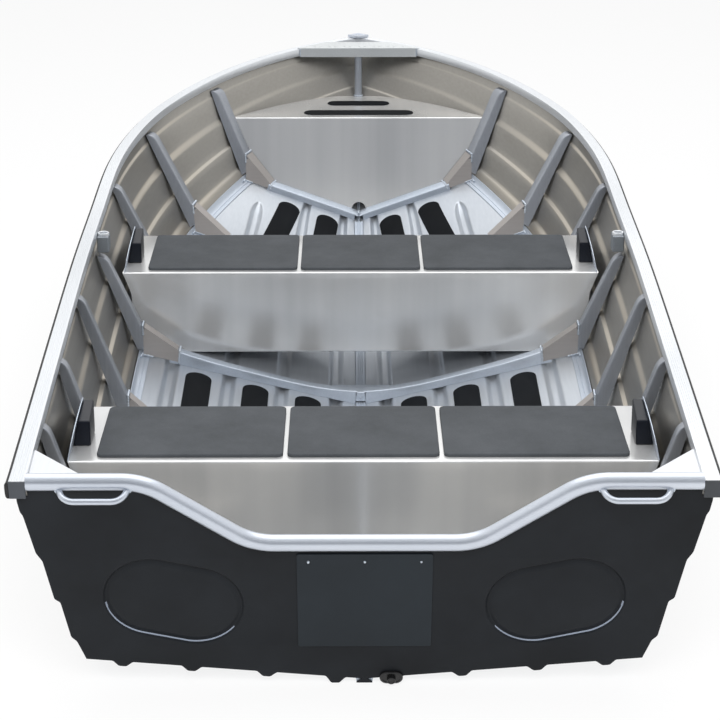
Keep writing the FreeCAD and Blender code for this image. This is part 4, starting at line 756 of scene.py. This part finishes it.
def rib_mesh(y, top_drop):
    height = line_at(sheer_line, y)[2] - line_at(chine_line, y)[2]
    low, high, cap = 20 / height, 1 - top_drop / height, RIB_TOP_ROUND / height
    # The rib stands off the sheet by as much as the lowest step takes the sheet out at its foot.
    step = STEP_SHARES[0] * STEP_OUT * step_size(station(chine_line, y)) * min(low / STEP_UP[0], 1)
    seat = max(SHEET - step, 0) + 0.3
    rings, rules = [], {at: lean_rule(at) for at in (y - BAR / 2, y + BAR / 2)}
    rounding = [high - cap * (1 - math.sin(a)) for a in np.linspace(0, math.pi / 2, 7)[1:]]
    for share in [*np.linspace(low, high - cap, 15), *rounding]:
        deep = RIB_FOOT_DEEP + (RIB_TOP_DEEP - RIB_FOOT_DEEP) * (share - low) / (high - low)
        into = max((share - high + cap) / cap, 0.0)
        deep *= max(math.sqrt(max(1 - into ** 2, 0)), 0.16)
        corners = [leaning(at, rules[at], share, seat + d) for at, d in
                   ((y - BAR / 2, 0), (y - BAR / 2, deep), (y + BAR / 2, deep), (y + BAR / 2, 0))]
        rings.append(channel_ring(corners, deep))
    return loft(rings)


def toe_share(y):
    """How far out the gussets' toes are, as a share of the half beam at the chine."""
    return AFT_TOE - TOE_LESS * min(max((y - TOE_FROM) / TOE_RUN, 0.0), 1.0)


# The middle frame's arms bow upwards towards both ends, by so many mm.
ARM_BOW = 20.0
ARM_RISE = curve_through([ARM_BOW * share for share in (0.95, 0.42, 0.16, 0.10, 0.16, 0.24, 0.36, 0.60, 1.0)])


def arm_mesh(y):
    """Both arms of one frame, with the channel carried over the keel's ridge in the middle."""
    far, ridge = line_at(chine_line, y)[0] * (toe_share(y) + 0.04), line_at(keel_line, y)[2] + RIDGE_HIGH
    rings = []
    for x in [*np.linspace(far, ARM_ROOT, 25), 14.0, 5.0]:
        corners = []
        for at, lift in ((y - BAR / 2, 0), (y - BAR / 2, ARM_HIGH), (y + BAR / 2, ARM_HIGH), (y + BAR / 2, 0)):
            p = bottom_at(at, max(x, ARM_ROOT), ARM_SEAT + lift)
            if lift and y == FRAME_PLACES["frame_4"]:
                p[2] += ARM_RISE(max(x - ARM_ROOT, 0) / (far - ARM_ROOT) * 8)
            if x < ARM_ROOT - 0.5:
                slope = (bottom_at(at, 40.0)[2] - bottom_at(at, ARM_ROOT)[2]) / (40.0 - ARM_ROOT)
                p = np.array((x, p[1], p[2] - slope * (ARM_ROOT - x)))
                p[2] = p[2] if lift else max(p[2], ridge)
            corners.append(p)
        rings.append(channel_ring(corners, corners[1][2] - corners[0][2], 3.2))
    return loft(rings + [[p * (-1, 1, 1) for p in ring] for ring in rings[::-1]])


def gusset_outline(y, at):
    """The corners of a frame's gusset in the plane at: heel, rise, and the top and foot of its toe."""
    rule, half = lean_rule(at), line_at(chine_line, at)[0]
    rise = leaning(at, rule, GUSSET_SHARE, RIB_FOOT_DEEP)
    toe_top = bottom_at(at, half * toe_share(y), ARM_SEAT + ARM_HIGH)
    toe_top[2] += ARM_BOW if y == FRAME_PLACES["frame_4"] else 0
    heel, toe = (bottom_at(at, x, SHEET + GUSSET_INSET) for x in (half - GUSSET_INSET, half * toe_share(y)))
    return [np.array((p[0], rule(p[2]), p[2])) for p in (heel, rise, toe_top, toe)]


# Gusset plate: sheared sheet, warmer and duller than the drawn bars.
gusset_plate = brushed_metal("sheared_gusset_plate", "#a39e9b", "#b4afac", 0.46, 6.0, (20, 1, 1), 0.0, 4.0, 0.06, 0.6)


def gusset_meshes(y):
    """The web of a gusset, and the flange along its upper edge."""
    heel, rise, toe_top, toe = gusset_outline(y, y - BAR / 2 - 0.4)
    web = bent_path([heel, rise, toe_top, toe], 9.0, 3.0) + [toe + (heel - toe) * k / 4 for k in (1, 2, 3)]
    flange = []
    for at in (y - BAR / 2, y + BAR / 2):
        heel, rise, toe_top, toe = gusset_outline(y, at)
        along, rule = unit(toe_top - rise), lean_rule(at)
        drop, ends = np.array((-along[2], 0, along[0])) * 3.0, (rise + along * 6, toe_top - along * 6)
        flange.append([np.array((p[0], rule(p[2]), p[2])) for p in (*ends, ends[1] + drop, ends[0] + drop)])
    return [plate_of(web, (0, GUSSET_THICK, 0)), loft(flange)]


def gathered(meshes):
    vertices, faces = [], []
    for v, f in meshes:
        faces += [tuple(i + len(vertices) for i in face) for face in f]
        vertices += [np.asarray(p, float) for p in v]
    return np.array(vertices), faces


def in_pairs(*meshes):
    """Meshes of the starboard side and the same mirrored to port, as one mesh."""
    return gathered([*meshes, *(mirrored(*mesh) for mesh in meshes)])


for name, y in {**FRAME_PLACES, **RIB_PLACES}.items():
    if name in FRAME_PLACES:
        surface(name + "_gussets", *in_pairs(*gusset_meshes(y)), gusset_plate, "frame_extrusion", smooth=30)
        surface(name + "_floor_arms", *arm_mesh(y), extruded_bar, "frame_extrusion", smooth=35)
    rib = rib_mesh(y, MIDDLE_RIB_TOP_DROP if name == "frame_4" else RIB_TOP_DROP)
    surface(name + "_ribs", *in_pairs(rib), channel_bar, "frame_extrusion", [name], 35)
dress("step_plate", extruded_bar)


# ---------------------------------------------------------------- Thwarts
# Each thwart is one folded 2 mm sheet: a flat top, two faces down to the floor and a lip turned in at
# their feet, welded across the boat.
# Brushed sheet: broad bands up the faces and fore and aft on top, smooth enough to mirror the floor ahead.
brushed_sheet = brushed_metal("brushed_seat_sheet", "#c9cacb", "#f2f2f1", 0.19, 48.0, (1, 40, 40), 0.0, 3.0, 0.03, 0.62)
THWARTS = {"aft": (313.0, 340.0), "forward": (1693.0, 370.0)}
SEAT_TOP, SEAT_LIP, SEAT_BEND, HALF_FOOT, SIDE_GAP = 380.0, 15.0, 4.5, 497.0, 28.0


def seat_half_width(y, z, foot):
    """Down the side of the hull to a little over the chine, then in along the bottom to the foot."""
    knuckle = line_at(chine_line, y)[2] + 24
    if z >= knuckle:
        return side_at(y, z, SIDE_GAP - 20 * min(max(SEAT_TOP - 60 - z, 0) / 60, 1))[0]
    wide = side_at(y, knuckle, SIDE_GAP - 20)[0]
    return HALF_FOOT + (wide - HALF_FOOT) * max((z - foot) / (knuckle - foot), 0) ** 0.7


def divided(section, after):
    """More places along one straight run of a section, so that its ends can follow the hull."""
    a, b = (np.array(section[i]) for i in (after, after + 1))
    return section[:after + 1] + [tuple(a + (b - a) * k / 12) for k in range(1, 12)] + section[after + 1:]


def folded_section(y0, y1, foot, inset):
    """Up the aft face, over the top and down the front, each fold a round bend."""
    corners = [(y0 + SEAT_LIP, foot + inset), (y0 + inset, foot + inset), (y0 + inset, SEAT_TOP - inset),
               (y1 - inset, SEAT_TOP - inset), (y1 - inset, foot + inset), (y1 - SEAT_LIP, foot + inset)]
    section = [corners[0]]
    for before, corner, after in zip(corners, corners[1:], corners[2:]):
        a, b = ((SEAT_BEND - inset) * unit(np.subtract(p, corner)) for p in (before, after))
        section += [tuple(corner + a * (1 - math.sin(t)) + b * (1 - math.cos(t)))
                    for t in np.linspace(0, math.pi / 2, 7)]
    return divided(divided(section + [corners[-1]], 21), 7)


seat_columns = np.linspace(-1, 1, 13)
for name, (y, depth) in THWARTS.items():
    foot = bottom_at(y, HALF_FOOT, SHEET + 0.3)[2]
    sections = [folded_section(y, y + depth, foot, inset) for inset in (0.0, SHEET)]
    vertices = [(t * seat_half_width(at, z, foot), at, z)
                for section in sections for t in seat_columns for at, z in section]
    surface("seat_" + name, vertices, sheet_faces(len(seat_columns), len(sections[0])), brushed_sheet, "seat_sheet",
            ["thwart_" + name], 30)


# ---------------------------------------------------------------- Seat pads
# Three closed-cell foam pads are glued on each thwart, 8 mm thick, with rounded corners and soft edges.
# EVA foam: matt, dark grey, with a fine closed-cell grain and slow patches.
PAD_THICK, PAD_EDGE, PAD_SPLIT, PAD_GAP, PAD_CORNER = 8.0, 22.0, 175.0, 5.0, 14.0
PAD_ENDS = {"aft": 595.0, "forward": 603.5}
seat_foam, tree, shader = finish_of("closed_cell_eva_foam", Roughness=0.82, Specular_IOR_Level=0.3)
place = add_node(tree, "ShaderNodeTexCoord").outputs["Object"]
patches = add_node(tree, "ShaderNodeTexNoise", Vector=place, Scale=6.0, Detail=6.0, Roughness=0.7).outputs[0]
cells = add_node(tree, "ShaderNodeTexVoronoi", Vector=place, Scale=1000 / 2.2).outputs["Distance"]
mixed = add_node(tree, "ShaderNodeMath", {"operation": "MULTIPLY_ADD"}, i0=cells, i1=0.25, i2=patches).outputs[0]
tree.links.new(tone_between(tree, mixed, "#3f4245", "#4e5155", 0.4, 0.8), shader.inputs["Base Color"])
raised = add_node(tree, "ShaderNodeBump", Height=cells, Strength=0.25, Distance=0.0006)
tree.links.new(raised.outputs[0], shader.inputs["Normal"])


def foam_slab(outline_at, base, thick, crown):
    """A closed foam piece: rings of its outline, drawn in over a soft edge, then a slightly crowned top."""
    profile = [(1.2, 0.0), (0.2, 0.5), (0.0, 1.4), (0.0, thick - 2.2), (0.5, thick - 1.0), (1.4, thick - 0.3),
               (3.0, thick)]
    reach = np.ptp(outline_at(0.0), axis=0).min() / 2
    profile += [(3.0 + (reach - 5.0) * k / 7, thick + crown * math.sin(math.pi / 2 * k / 7)) for k in range(1, 8)]
    return loft([[(x, y, base + up) for x, y in outline_at(inset)] for inset, up in profile])


for name, (y, depth) in THWARTS.items():
    end, split = PAD_ENDS[name], PAD_SPLIT
    for place, x0, x1 in (("port", -end, -split - PAD_GAP), ("middle", PAD_GAP - split, split - PAD_GAP),
                          ("starboard", split + PAD_GAP, end)):
        slab = foam_slab(lambda inset: rounded_box(x0, x1, y + PAD_EDGE, y + depth - PAD_EDGE, PAD_CORNER, inset),
                         SEAT_TOP + 0.2, PAD_THICK, 1.6)
        pad = surface("foam_pad_" + name + "_" + place, *slab, seat_foam, "seat_foam", ["seat_pads_" + name], 60)


# ---------------------------------------------------------------- Seat end brackets
# At each end of a thwart stands a moulded black block, sloping up forwards, against a curved aluminium
# plate that leans on the side of the hull.
# Moulded polypropylene: black with a soft gloss on the rounded edges.
bracket_plastic = coated("moulded_polypropylene", "#0c0f16", "#161a23", 0.38, 4.0, 0.05, Specular_IOR_Level=0.35)
LEAN, BLOCK_WIDE, BLOCK_LONG, BLOCK_SETBACK, FRONT_HIGH, BACK_HIGH = 0.2, 40.0, 88.0, 90.0, 60.0, 80.0
BRACKET_BASE, BRACKET_PLATE, BRACKET_PEAK = SEAT_TOP + 0.3, 2.5, 84.0

for name, (y, depth) in THWARTS.items():
    face, peak = side_at(y + BLOCK_SETBACK, SEAT_TOP, SIDE_GAP)[0] - 4.3, y + BLOCK_SETBACK + BLOCK_LONG
    block = loft([[np.array((x, at, BRACKET_BASE + z)) for x, z in
                   ((face - BLOCK_WIDE, 0), (face - BLOCK_WIDE, high), (face - LEAN * high, high), (face, 0))]
                  for at, high in ((y + BLOCK_SETBACK, FRONT_HIGH), (peak, BACK_HIGH))])
    places = [(y + 0.3 + (peak - y) * t, BRACKET_PEAK * math.sqrt(1 - (1 - t) ** 2)) for t in np.linspace(0, 1, 15)]
    places += [(peak + 10, BACK_HIGH), (peak + 60, 0.0)]
    outline = [(face + 0.3 - LEAN * z, at, BRACKET_BASE + z) for at, z in places]
    softened(surface("bracket_block_" + name, *in_pairs(block), bracket_plastic, "bracket_plastic",
                     ["bracket_blocks_" + name], 0), 4.0, 4)
    softened(surface("bracket_plate_" + name, *in_pairs(plate_of(outline, (BRACKET_PLATE, 0, 0))), extruded_bar,
                     "bright_tube", ["bracket_plates_" + name], 0), 0.8)


# ---------------------------------------------------------------- Bow seat
# A folded sheet closes the bow: a flat seat narrowing to the stem and a face down to the floor, with an
# arched limber hole over the keel. Two black grip strips are glued on top.
BOW_AFT, BOW_TOP, BOW_GAP, BOW_BEND, BOW_SEAT = 2991.66, 502.0, 10.0, 5.0, SHEET + 3.5
HOLE_RADIUS, STRIP_HALF = 24.0, 31.0


def stem_line_y(z):
    """Where the inside of the bow lies at a height, on the smooth line of the stem."""
    (_, ya, a), (_, yb, b), (_, yc, c) = KEEL_ROW[-1], CHINE_ROW[-1], SHEER_ROW[-1]
    return (ya * (z - b) * (z - c) / ((a - b) * (a - c)) + yb * (z - a) * (z - c) / ((b - a) * (b - c))
            + yc * (z - a) * (z - b) / ((c - a) * (c - b)))


bow_foot = bottom_at(BOW_AFT, 22.0, BOW_SEAT)[2]
bow_slope = (lean_rule(FRAME_PLACES["frame_1"] + BAR / 2)(BOW_TOP) + 1.0 - BOW_AFT) / (BOW_TOP - bow_foot)


def bow_rule(z):
    """Where the seat's flat face stands at a height, leaning with the forward frame."""
    return BOW_AFT + bow_slope * (z - bow_foot)


bend_y, across = bow_rule(BOW_TOP - BOW_BEND), np.linspace(-1, 1, 9)
top_y = np.linspace(bend_y + BOW_BEND, stem_line_y(BOW_TOP) - 29.0, 15)
rows = [side_at(y, BOW_TOP, BOW_GAP + 16 * min((y - top_y[0]) / 60, 1))[0] for y in top_y]
top = [(t * x, y, z) for z in (BOW_TOP, BOW_TOP - SHEET) for x, y in zip(rows, top_y) for t in across]

bend_rings = []
for angle in np.linspace(0, math.pi / 2, 7):
    ring = []
    for radius, order in ((BOW_BEND, across), (BOW_BEND - SHEET, across[::-1])):
        y, z = bend_y + BOW_BEND - radius * math.cos(angle), BOW_TOP - BOW_BEND + radius * math.sin(angle)
        half = side_at(y, z, BOW_GAP)[0]
        ring += [(t * half, y, z) for t in order]
    bend_rings.append(ring)

half = [(side_at(bow_rule(z), z, BOW_GAP)[0], z)
        for z in np.linspace(BOW_TOP - BOW_BEND, line_at(chine_line, BOW_AFT + 30)[2] + 14, 6)]
for x in np.linspace(half[-1][0] - 24, 22, 12):
    z = bow_foot
    for _ in range(4):
        z = bottom_at(bow_rule(z), x, BOW_SEAT)[2]
    half.append((x, z))
hole = [(HOLE_RADIUS * math.cos(a), half[-1][1] + 12 + HOLE_RADIUS * math.sin(a))
        for a in np.linspace(-0.4, math.pi + 0.4, 30)]
front = [(x, bow_rule(z), z) for x, z in half + hole + [(-x, z) for x, z in half[::-1]]]
meshes = [(np.array(top), sheet_faces(len(rows), len(across))), loft(bend_rings), plate_of(front, (0, SHEET, 0))]
surface("bow_seat_sheet", *gathered(meshes), brushed_sheet, "seat_sheet", ["bow_seat"], 30)

# Grip foam: black closed-cell strip, matt.
grip_foam = coated("black_grip_foam", "#090b0e", "#111418", 0.8, 5.0, 0.08, Specular_IOR_Level=0.15)
strip_y = bow_rule(BOW_TOP) + 38.0 + STRIP_HALF
for name, y, half in (("aft", strip_y, 188.0), ("fore", strip_y + 140.0, 108.0)):
    slab = foam_slab(lambda inset: [(x, y + z) for x, z in stadium_ring(half - inset, STRIP_HALF - inset, 56)],
                     BOW_TOP + 0.2, 3.0, 0.4)
    surface("bow_grip_" + name, *slab, grip_foam, "grip_foam", ["bow_seat_strips"], 60)


# ---------------------------------------------------------------- Floor grip strips
# Long strips of the same foam with round ends, glued on the flats between the strakes.
GRIP_HALF, GRIP_PROFILE = 36.0, [(0.6, 0.0), (0.0, 0.6), (0.0, 3.4), (0.5, 4.4), (1.6, 5.0)]


def floor_grip(share, y0, y1):
    aft, fore = (panel_at("bottom", share, y)[:2] for y in (y0 + GRIP_HALF, y1 - GRIP_HALF))
    rings = []
    for inset, up in GRIP_PROFILE:
        ring = []
        for here, there, half in ((fore, aft, GRIP_HALF - inset), (aft, fore, inset - GRIP_HALF)):
            ring += [here + (half * math.cos(a), half * math.sin(a)) for a in np.linspace(0, math.pi, 13)]
            ring += [here - (half, 0) + (there - here) * t for t in np.linspace(0, 1, 12)[1:-1]]
        rings.append([bottom_at(y, x, SHEET + 0.4 + up) for x, y in ring])
    return loft(rings)


for name, shares, y0, y1 in (("forward", (0.255, 0.565), 2588.25, 2922.66),
                             ("aft", (0.236, 0.473, 0.73), 1178.18, 1560.01)):
    surface("floor_grips_" + name, *in_pairs(*(floor_grip(share, y0, y1) for share in shares)), grip_foam,
            "grip_foam", ["floor_strips_" + name], 50)


# ---------------------------------------------------------------- Breasthook, nose and stem post
# The breasthook is a plate of raised tread pattern across the gunwales with its aft edge folded down. A cast
# diamond caps the nose and a fluted post stands from the bow seat up to the hook.
tread_metal = brushed_metal("bright_tread_plate", "#c4c8ca", "#dfe2e3", 0.36, 5.0, (1, 20, 1), 0.04, 5.0, 0.08)
HOOK_AFT, HOOK_THICK, HOOK_FOLD, NOSE_HALF, NOSE_LONG = 3370.0, 3.0, 32.0, 37.0, 31.0


def hook_line(u):
    """The breasthook's edge on the gunwale."""
    return rail_row(u, [(-22.5, 4.6)])[0]


hook_rows = [hook_line(u) for u in np.linspace(station(hook_line, HOOK_AFT), LAST - 0.45, 13)]
hook = [p * (t, 1, 1) + (0, 0, up) for up in (0, HOOK_THICK) for p in hook_rows for t in across]
hook_half, hook_crest = hook_rows[0][0] - 9.9, hook_rows[0][2] + HOOK_THICK
fold = plate_of([(x, HOOK_AFT - HOOK_THICK, hook_crest - down) for x, down in
                 ((-hook_half, HOOK_FOLD), (hook_half, HOOK_FOLD), (hook_half, 0), (-hook_half, 0))],
                (0, HOOK_THICK, 0))
plate = (np.array(hook), sheet_faces(len(hook_rows), len(across)))
softened(surface("breasthook_plate", *gathered([plate, fold]), tread_metal, "tread_plate", ["breasthook"], 0), 0.9)

nose_y, nose_z = (rail_row(LAST, [(OUTER, RAIL_TOP)])[0] + (0, 10.0 - NOSE_LONG, 0.3))[1:]
diamond = [(1, 0), (0.52, 0.52), (0, 1), (-0.52, 0.52), (-1, 0), (-0.52, -0.52), (0, -1), (0.52, -0.52)]
steps = [(1.0, 0.0), (1.0, 7.4), (0.96, 8.7), (0.90, 9.0), (0.72, 9.0), (0.66, 8.2), (0.60, 6.4), (0.2, 6.0)]
rings = [[(NOSE_HALF * share * x, nose_y + NOSE_LONG * share * y, nose_z + up) for x, y in diamond]
         for share, up in steps]
surface("nose_diamond", *loft(rings), bright_tube, "bright_tube", ["nose_cap"], 30)

post_y, post_low, post_top = HULL_LENGTH - 126.0, BOW_TOP + 0.3, line_at(sheer_line, HOOK_AFT)[2] + 5.5
flutes = [(13.0 if k % 6 < 4 else 11.9, math.pi * k / 24) for k in range(48)]
rings = [[(radius * math.cos(a), post_y + radius * math.sin(a), post_low + (post_top - post_low) * share)
          for radius, a in flutes] for share in (0.0, 0.01, 1.0)]
surface("fluted_stem_post", *loft(rings), bright_tube, "bright_tube", ["stem_post"], 35)

# Stainless bar: darker and sharper than the aluminium.
eye_steel = brushed_metal("stainless_eye_bar", "#a3a3a4", "#c4c4c5", 0.34, 4.0, (1, 1, 20), 0.0, 8.0, 0.05, 1.0)
dress("bow_eye", eye_steel)


# ---------------------------------------------------------------- Rowlock sockets
# A cast block is welded inside each gunwale over the middle rib, with a bright bushed socket through it.
cast_block = brushed_metal("cast_socket_block", "#80858b", "#9aa0a6", 0.48, 3.0, (1, 1, 1), 0.12, 12.0, 0.06)
SOCKET_Y, SOCKET_RADIUS, SOCKET_DEEP, BLOCK_HALF, BLOCK_HIGH = FRAME_PLACES["frame_4"], 16.0, 52.0, 24.0, 45.0
socket_sheer = line_at(sheer_line, SOCKET_Y)
socket_inner, socket_top = socket_sheer[0] + INNER - 0.3, socket_sheer[2] - 9.0
socket_x = socket_inner - SOCKET_RADIUS
lathe = [(6.6, -SOCKET_DEEP), (15.2, -SOCKET_DEEP), (SOCKET_RADIUS, -51.2), (SOCKET_RADIUS, -2.0), (15.6, -0.8),
         (14.6, 0.0), (12.6, 0.0), (11.6, -0.6), (11.2, -2.0), (11.0, -16.0), (6.6, -17.0)]
x0, x1, y0, y1 = socket_x - SOCKET_RADIUS, socket_inner, SOCKET_Y - BLOCK_HALF, SOCKET_Y + BLOCK_HALF
bush = loft([[(socket_x + r * math.cos(a), SOCKET_Y + r * math.sin(a), socket_top + z) for r, z in lathe]
             for a in np.linspace(0, 2 * math.pi, 40, endpoint=False)], closed=True)
block = plate_of([(x, y, socket_top - SOCKET_DEEP) for x, y in ((x0, y0), (x1, y0), (x1, y1), (x0, y1))],
                 (0, 0, BLOCK_HIGH))
for side, one, other in (("starboard", bush, block), ("port", mirrored(*bush), mirrored(*block))):
    surface("rowlock_bush_" + side, *one, bright_extrusion, "bright_tube", ["rowlock_socket_" + side], 35)
    softened(surface("rowlock_block_" + side, *other, cast_block, "bright_tube", smooth=0), 3.0)


# ---------------------------------------------------------------- Weld beads, rivets and tread
# Beads of weld, rivet heads and the raised marks of the tread plate repeat along lines. Geometry nodes set
# a small round drop at each step of a line, a little larger or smaller, and one mesh is baked from them.
# Weld metal: bright and a little bluish where the torch has passed.
weld_metal = brushed_metal("bright_weld_metal", "#aeb8c4", "#dbe2ea", 0.36, 3.0, (1, 1, 1), 0.0, 20.0, 0.06)
drop_tree = bpy.data.node_groups.new("drops_along_lines", "GeometryNodeTree")
for label, kind in (("Lines", "Geometry"), ("Spacing", "Float"), ("Radius", "Float"), ("Metal", "Material")):
    drop_tree.interface.new_socket(label, in_out="INPUT", socket_type="NodeSocket" + kind)
drop_tree.interface.new_socket("Drops", in_out="OUTPUT", socket_type="NodeSocketGeometry")
given = add_node(drop_tree, "NodeGroupInput").outputs
lines = add_node(drop_tree, "GeometryNodeMeshToCurve", i0=given["Lines"])
steps = add_node(drop_tree, "GeometryNodeResampleCurve", {"mode": "LENGTH"}, Curve=lines.outputs[0],
                 Length=given["Spacing"])
drop = add_node(drop_tree, "GeometryNodeMeshUVSphere", Segments=8, Rings=5, Radius=given["Radius"])
sizes = add_node(drop_tree, "FunctionNodeRandomValue", {"data_type": "FLOAT"}, i2=0.85, i3=1.2, Seed=7)
placed = add_node(drop_tree, "GeometryNodeInstanceOnPoints", Points=steps.outputs[0], Instance=drop.outputs[0],
                  Scale=sizes.outputs[1])
solid = add_node(drop_tree, "GeometryNodeRealizeInstances", i0=placed.outputs[0])
rounded = add_node(drop_tree, "GeometryNodeSetShadeSmooth", i0=solid.outputs[0])
coloured = add_node(drop_tree, "GeometryNodeSetMaterial", Geometry=rounded.outputs[0], Material=given["Metal"])
add_node(drop_tree, "NodeGroupOutput", i0=coloured.outputs[0])


def drops(name, rows, spacing, radius, metal):
    """Drops of a radius at a spacing in mm along each row of places, as one piece."""
    points, edges = [], []
    for row in rows:
        edges += [(len(points) + i, len(points) + i + 1) for i in range(len(row) - 1)]
        points += [np.asarray(p, float) for p in row]
    mesh = bpy.data.meshes.new(name)
    mesh.from_pydata([tuple(p) for p in to_frame(points)], edges, [])
    piece = bpy.data.objects.new(name, mesh)
    bpy.context.collection.objects.link(piece)
    modifier = piece.modifiers.new("drops", "NODES")
    modifier.node_group = drop_tree
    values = {"Spacing": spacing / 1000, "Radius": radius / 1000, "Metal": metal}
    for socket in drop_tree.interface.items_tree:
        if socket.name in values:
            modifier[socket.identifier] = values[socket.name]
    baked = bpy.data.meshes.new_from_object(piece.evaluated_get(bpy.context.evaluated_depsgraph_get()))
    piece.modifiers.clear()
    piece.data = baked
    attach(piece, "root")


def both_sides(rows):
    return rows + [[np.asarray(p) * (-1, 1, 1) for p in row] for row in rows]


def circle(centre, radius, normal):
    a = unit(np.cross(normal, (0.3, 1.0, 0.2)))
    b = unit(np.cross(normal, a))
    return [centre + (a * math.cos(t) + b * math.sin(t)) * radius for t in np.linspace(0, 2 * math.pi, 25)]


for name, y in FRAME_PLACES.items():
    heel, rise, toe_top, toe = gusset_outline(y, y - BAR / 2 - 1)
    fore = gusset_outline(y, y + BAR / 2)
    rows = [[rise, fore[1]], [toe_top, fore[2]], [toe_top, toe], [heel + (rise - heel) * 0.7, rise],
            [heel + (0, -2, 0), heel + (toe - heel) * 0.25 + (0, -2, 0)],
            [heel + (6, -18, 1), heel + (4, 0, 2)]]
    up = bottom_at(y, ARM_ROOT, ARM_SEAT + ARM_HIGH)[2]
    over_keel = [(0, y - BAR / 2, up), (0, y + BAR / 2, up)]
    drops("weld_beads_" + name, both_sides(rows) + [over_keel], 4.0, 3.2, weld_metal)

handle_ends = [circle(handle_path[i] + (0, 1.5, 1.0), 7.6, handle_path[i] - handle_path[j])
               for i, j in ((0, 1), (-1, -2))]
hook_end = [(hook_half - 1, HOOK_AFT - 3.5, hook_crest - HOOK_FOLD * t) for t in (0.1, 0.9)]
collar = circle(np.array((0, post_y, post_low + 2.0)), 14.2, np.array((0, 0, 1)))
drops("weld_beads_fittings", both_sides(handle_ends + [hook_end]) + [collar], 3.4, 2.2, weld_metal)
rivets = [on_plate(x, PAD_HIGH - 20, 7.5) for x in (-116, 0, 116)]
drops("pad_rivets", [rivets], 116.0, 3.0, weld_metal)

# Raised marks of the tread, drawn twice as coarse as they are so that they show in the render.
TREAD_PITCH, TREAD_HALF, hook_fore = 26.0, 8.0, hook_rows[-1][1]
marks, slant = [], TREAD_HALF / math.sqrt(2)
for i in range(-9, 10):
    for j in range(10):
        x, y = i * TREAD_PITCH, HOOK_AFT + 16 + j * TREAD_PITCH
        if abs(x) < line_at(hook_line, min(y + 10, hook_fore - 2))[0] - 14 and y < hook_fore - 30:
            turn, up = 1 if (i + j) % 2 else -1, line_at(hook_line, y)[2] + HOOK_THICK - 0.3
            marks.append([(x + slant * s, y + slant * s * turn, up) for s in (-1, 1)])
drops("tread_marks", marks, 4.0, 1.9, tread_metal)


# ---------------------------------------------------------------- Floor, light and camera
# A plain pale floor under the keel, a large soft box overhead and the photograph's view.
def seen_directly(tree):
    """1 for rays from the camera and off or through the boat, 0 for those that only carry light."""
    path = add_node(tree, "ShaderNodeLightPath").outputs
    seen = path["Is Camera Ray"]
    for kind in ("Is Glossy Ray", "Is Transmission Ray"):
        seen = add_node(tree, "ShaderNodeMath", {"operation": "MAXIMUM"}, i0=seen, i1=path[kind]).outputs[0]
    return seen


# The floor glows white by four fifths where it is seen, and keeps the boat's shadow in the rest.
floor_material, tree, shader = finish_of("pale_floor", Roughness=0.9, Base_Color=(0.9, 0.9, 0.9, 1))
glow = add_node(tree, "ShaderNodeEmission")
share = add_node(tree, "ShaderNodeMath", {"operation": "MULTIPLY"}, i0=seen_directly(tree), i1=0.82)
both = add_node(tree, "ShaderNodeMixShader", i0=share.outputs[0], i1=shader.outputs[0], i2=glow.outputs[0])
tree.links.new(both.outputs[0], tree.nodes["Material Output"].inputs["Surface"])
floor_mesh = bpy.data.meshes.new("floor")
floor_mesh.from_pydata([(-30, -30, 0), (30, -30, 0), (30, 30, 0), (-30, 30, 0)], [], [(0, 1, 2, 3)])
floor_mesh.materials.append(floor_material)
floor = bpy.data.objects.new("floor", floor_mesh)
bpy.context.collection.objects.link(floor)

# White all round but for a dim wall astern of the camera, which the faces turned aft pick up.
world = bpy.data.worlds.new("studio")
bpy.context.scene.world = world
world.use_nodes = True
tree, background = world.node_tree, world.node_tree.nodes["Background"]
towards = add_node(tree, "ShaderNodeSeparateXYZ", i0=add_node(tree, "ShaderNodeTexCoord").outputs["Generated"])
ahead = add_node(tree, "ShaderNodeMapRange", i0=towards.outputs["Y"], i1=-0.9, i2=-0.2)
tree.links.new(tone_between(tree, ahead.outputs[0], "#85888e", "#ffffff", 0.0, 1.0), background.inputs["Color"])
strength = add_node(tree, "ShaderNodeMapRange", i0=seen_directly(tree), i1=0.0, i2=1.0, i3=0.7, i4=1.0)
tree.links.new(strength.outputs[0], background.inputs["Strength"])


def soft_box(name, place, aim, size, power):
    light = bpy.data.lights.new(name, "AREA")
    light.shape = "RECTANGLE"
    light.size, light.size_y = size
    light.energy = power
    lamp = bpy.data.objects.new(name, light)
    lamp.location = place
    lamp.rotation_euler = (Vector(aim) - Vector(place)).to_track_quat("-Z", "Y").to_euler()
    bpy.context.collection.objects.link(lamp)
    return lamp


soft_box("overhead", (0, 1.0, 5.0), (0, 0, 0), (5.0, 7.0), 130)
soft_box("astern", (0, -6.5, 5.0), (0, 0, 0.3), (6.0, 3.0), 480).visible_glossy = False

camera_data = bpy.data.cameras.new("camera")
camera_data.lens = 105.75
camera_data.sensor_width = 36
camera = bpy.data.objects.new("camera", camera_data)
camera.location = (-0.028, -5.695, 2.195)
camera.rotation_euler = (math.radians(70), 0, math.radians(-0.264))
bpy.context.collection.objects.link(camera)
bpy.context.scene.camera = camera
bpy.context.scene.view_settings.view_transform = "Standard"
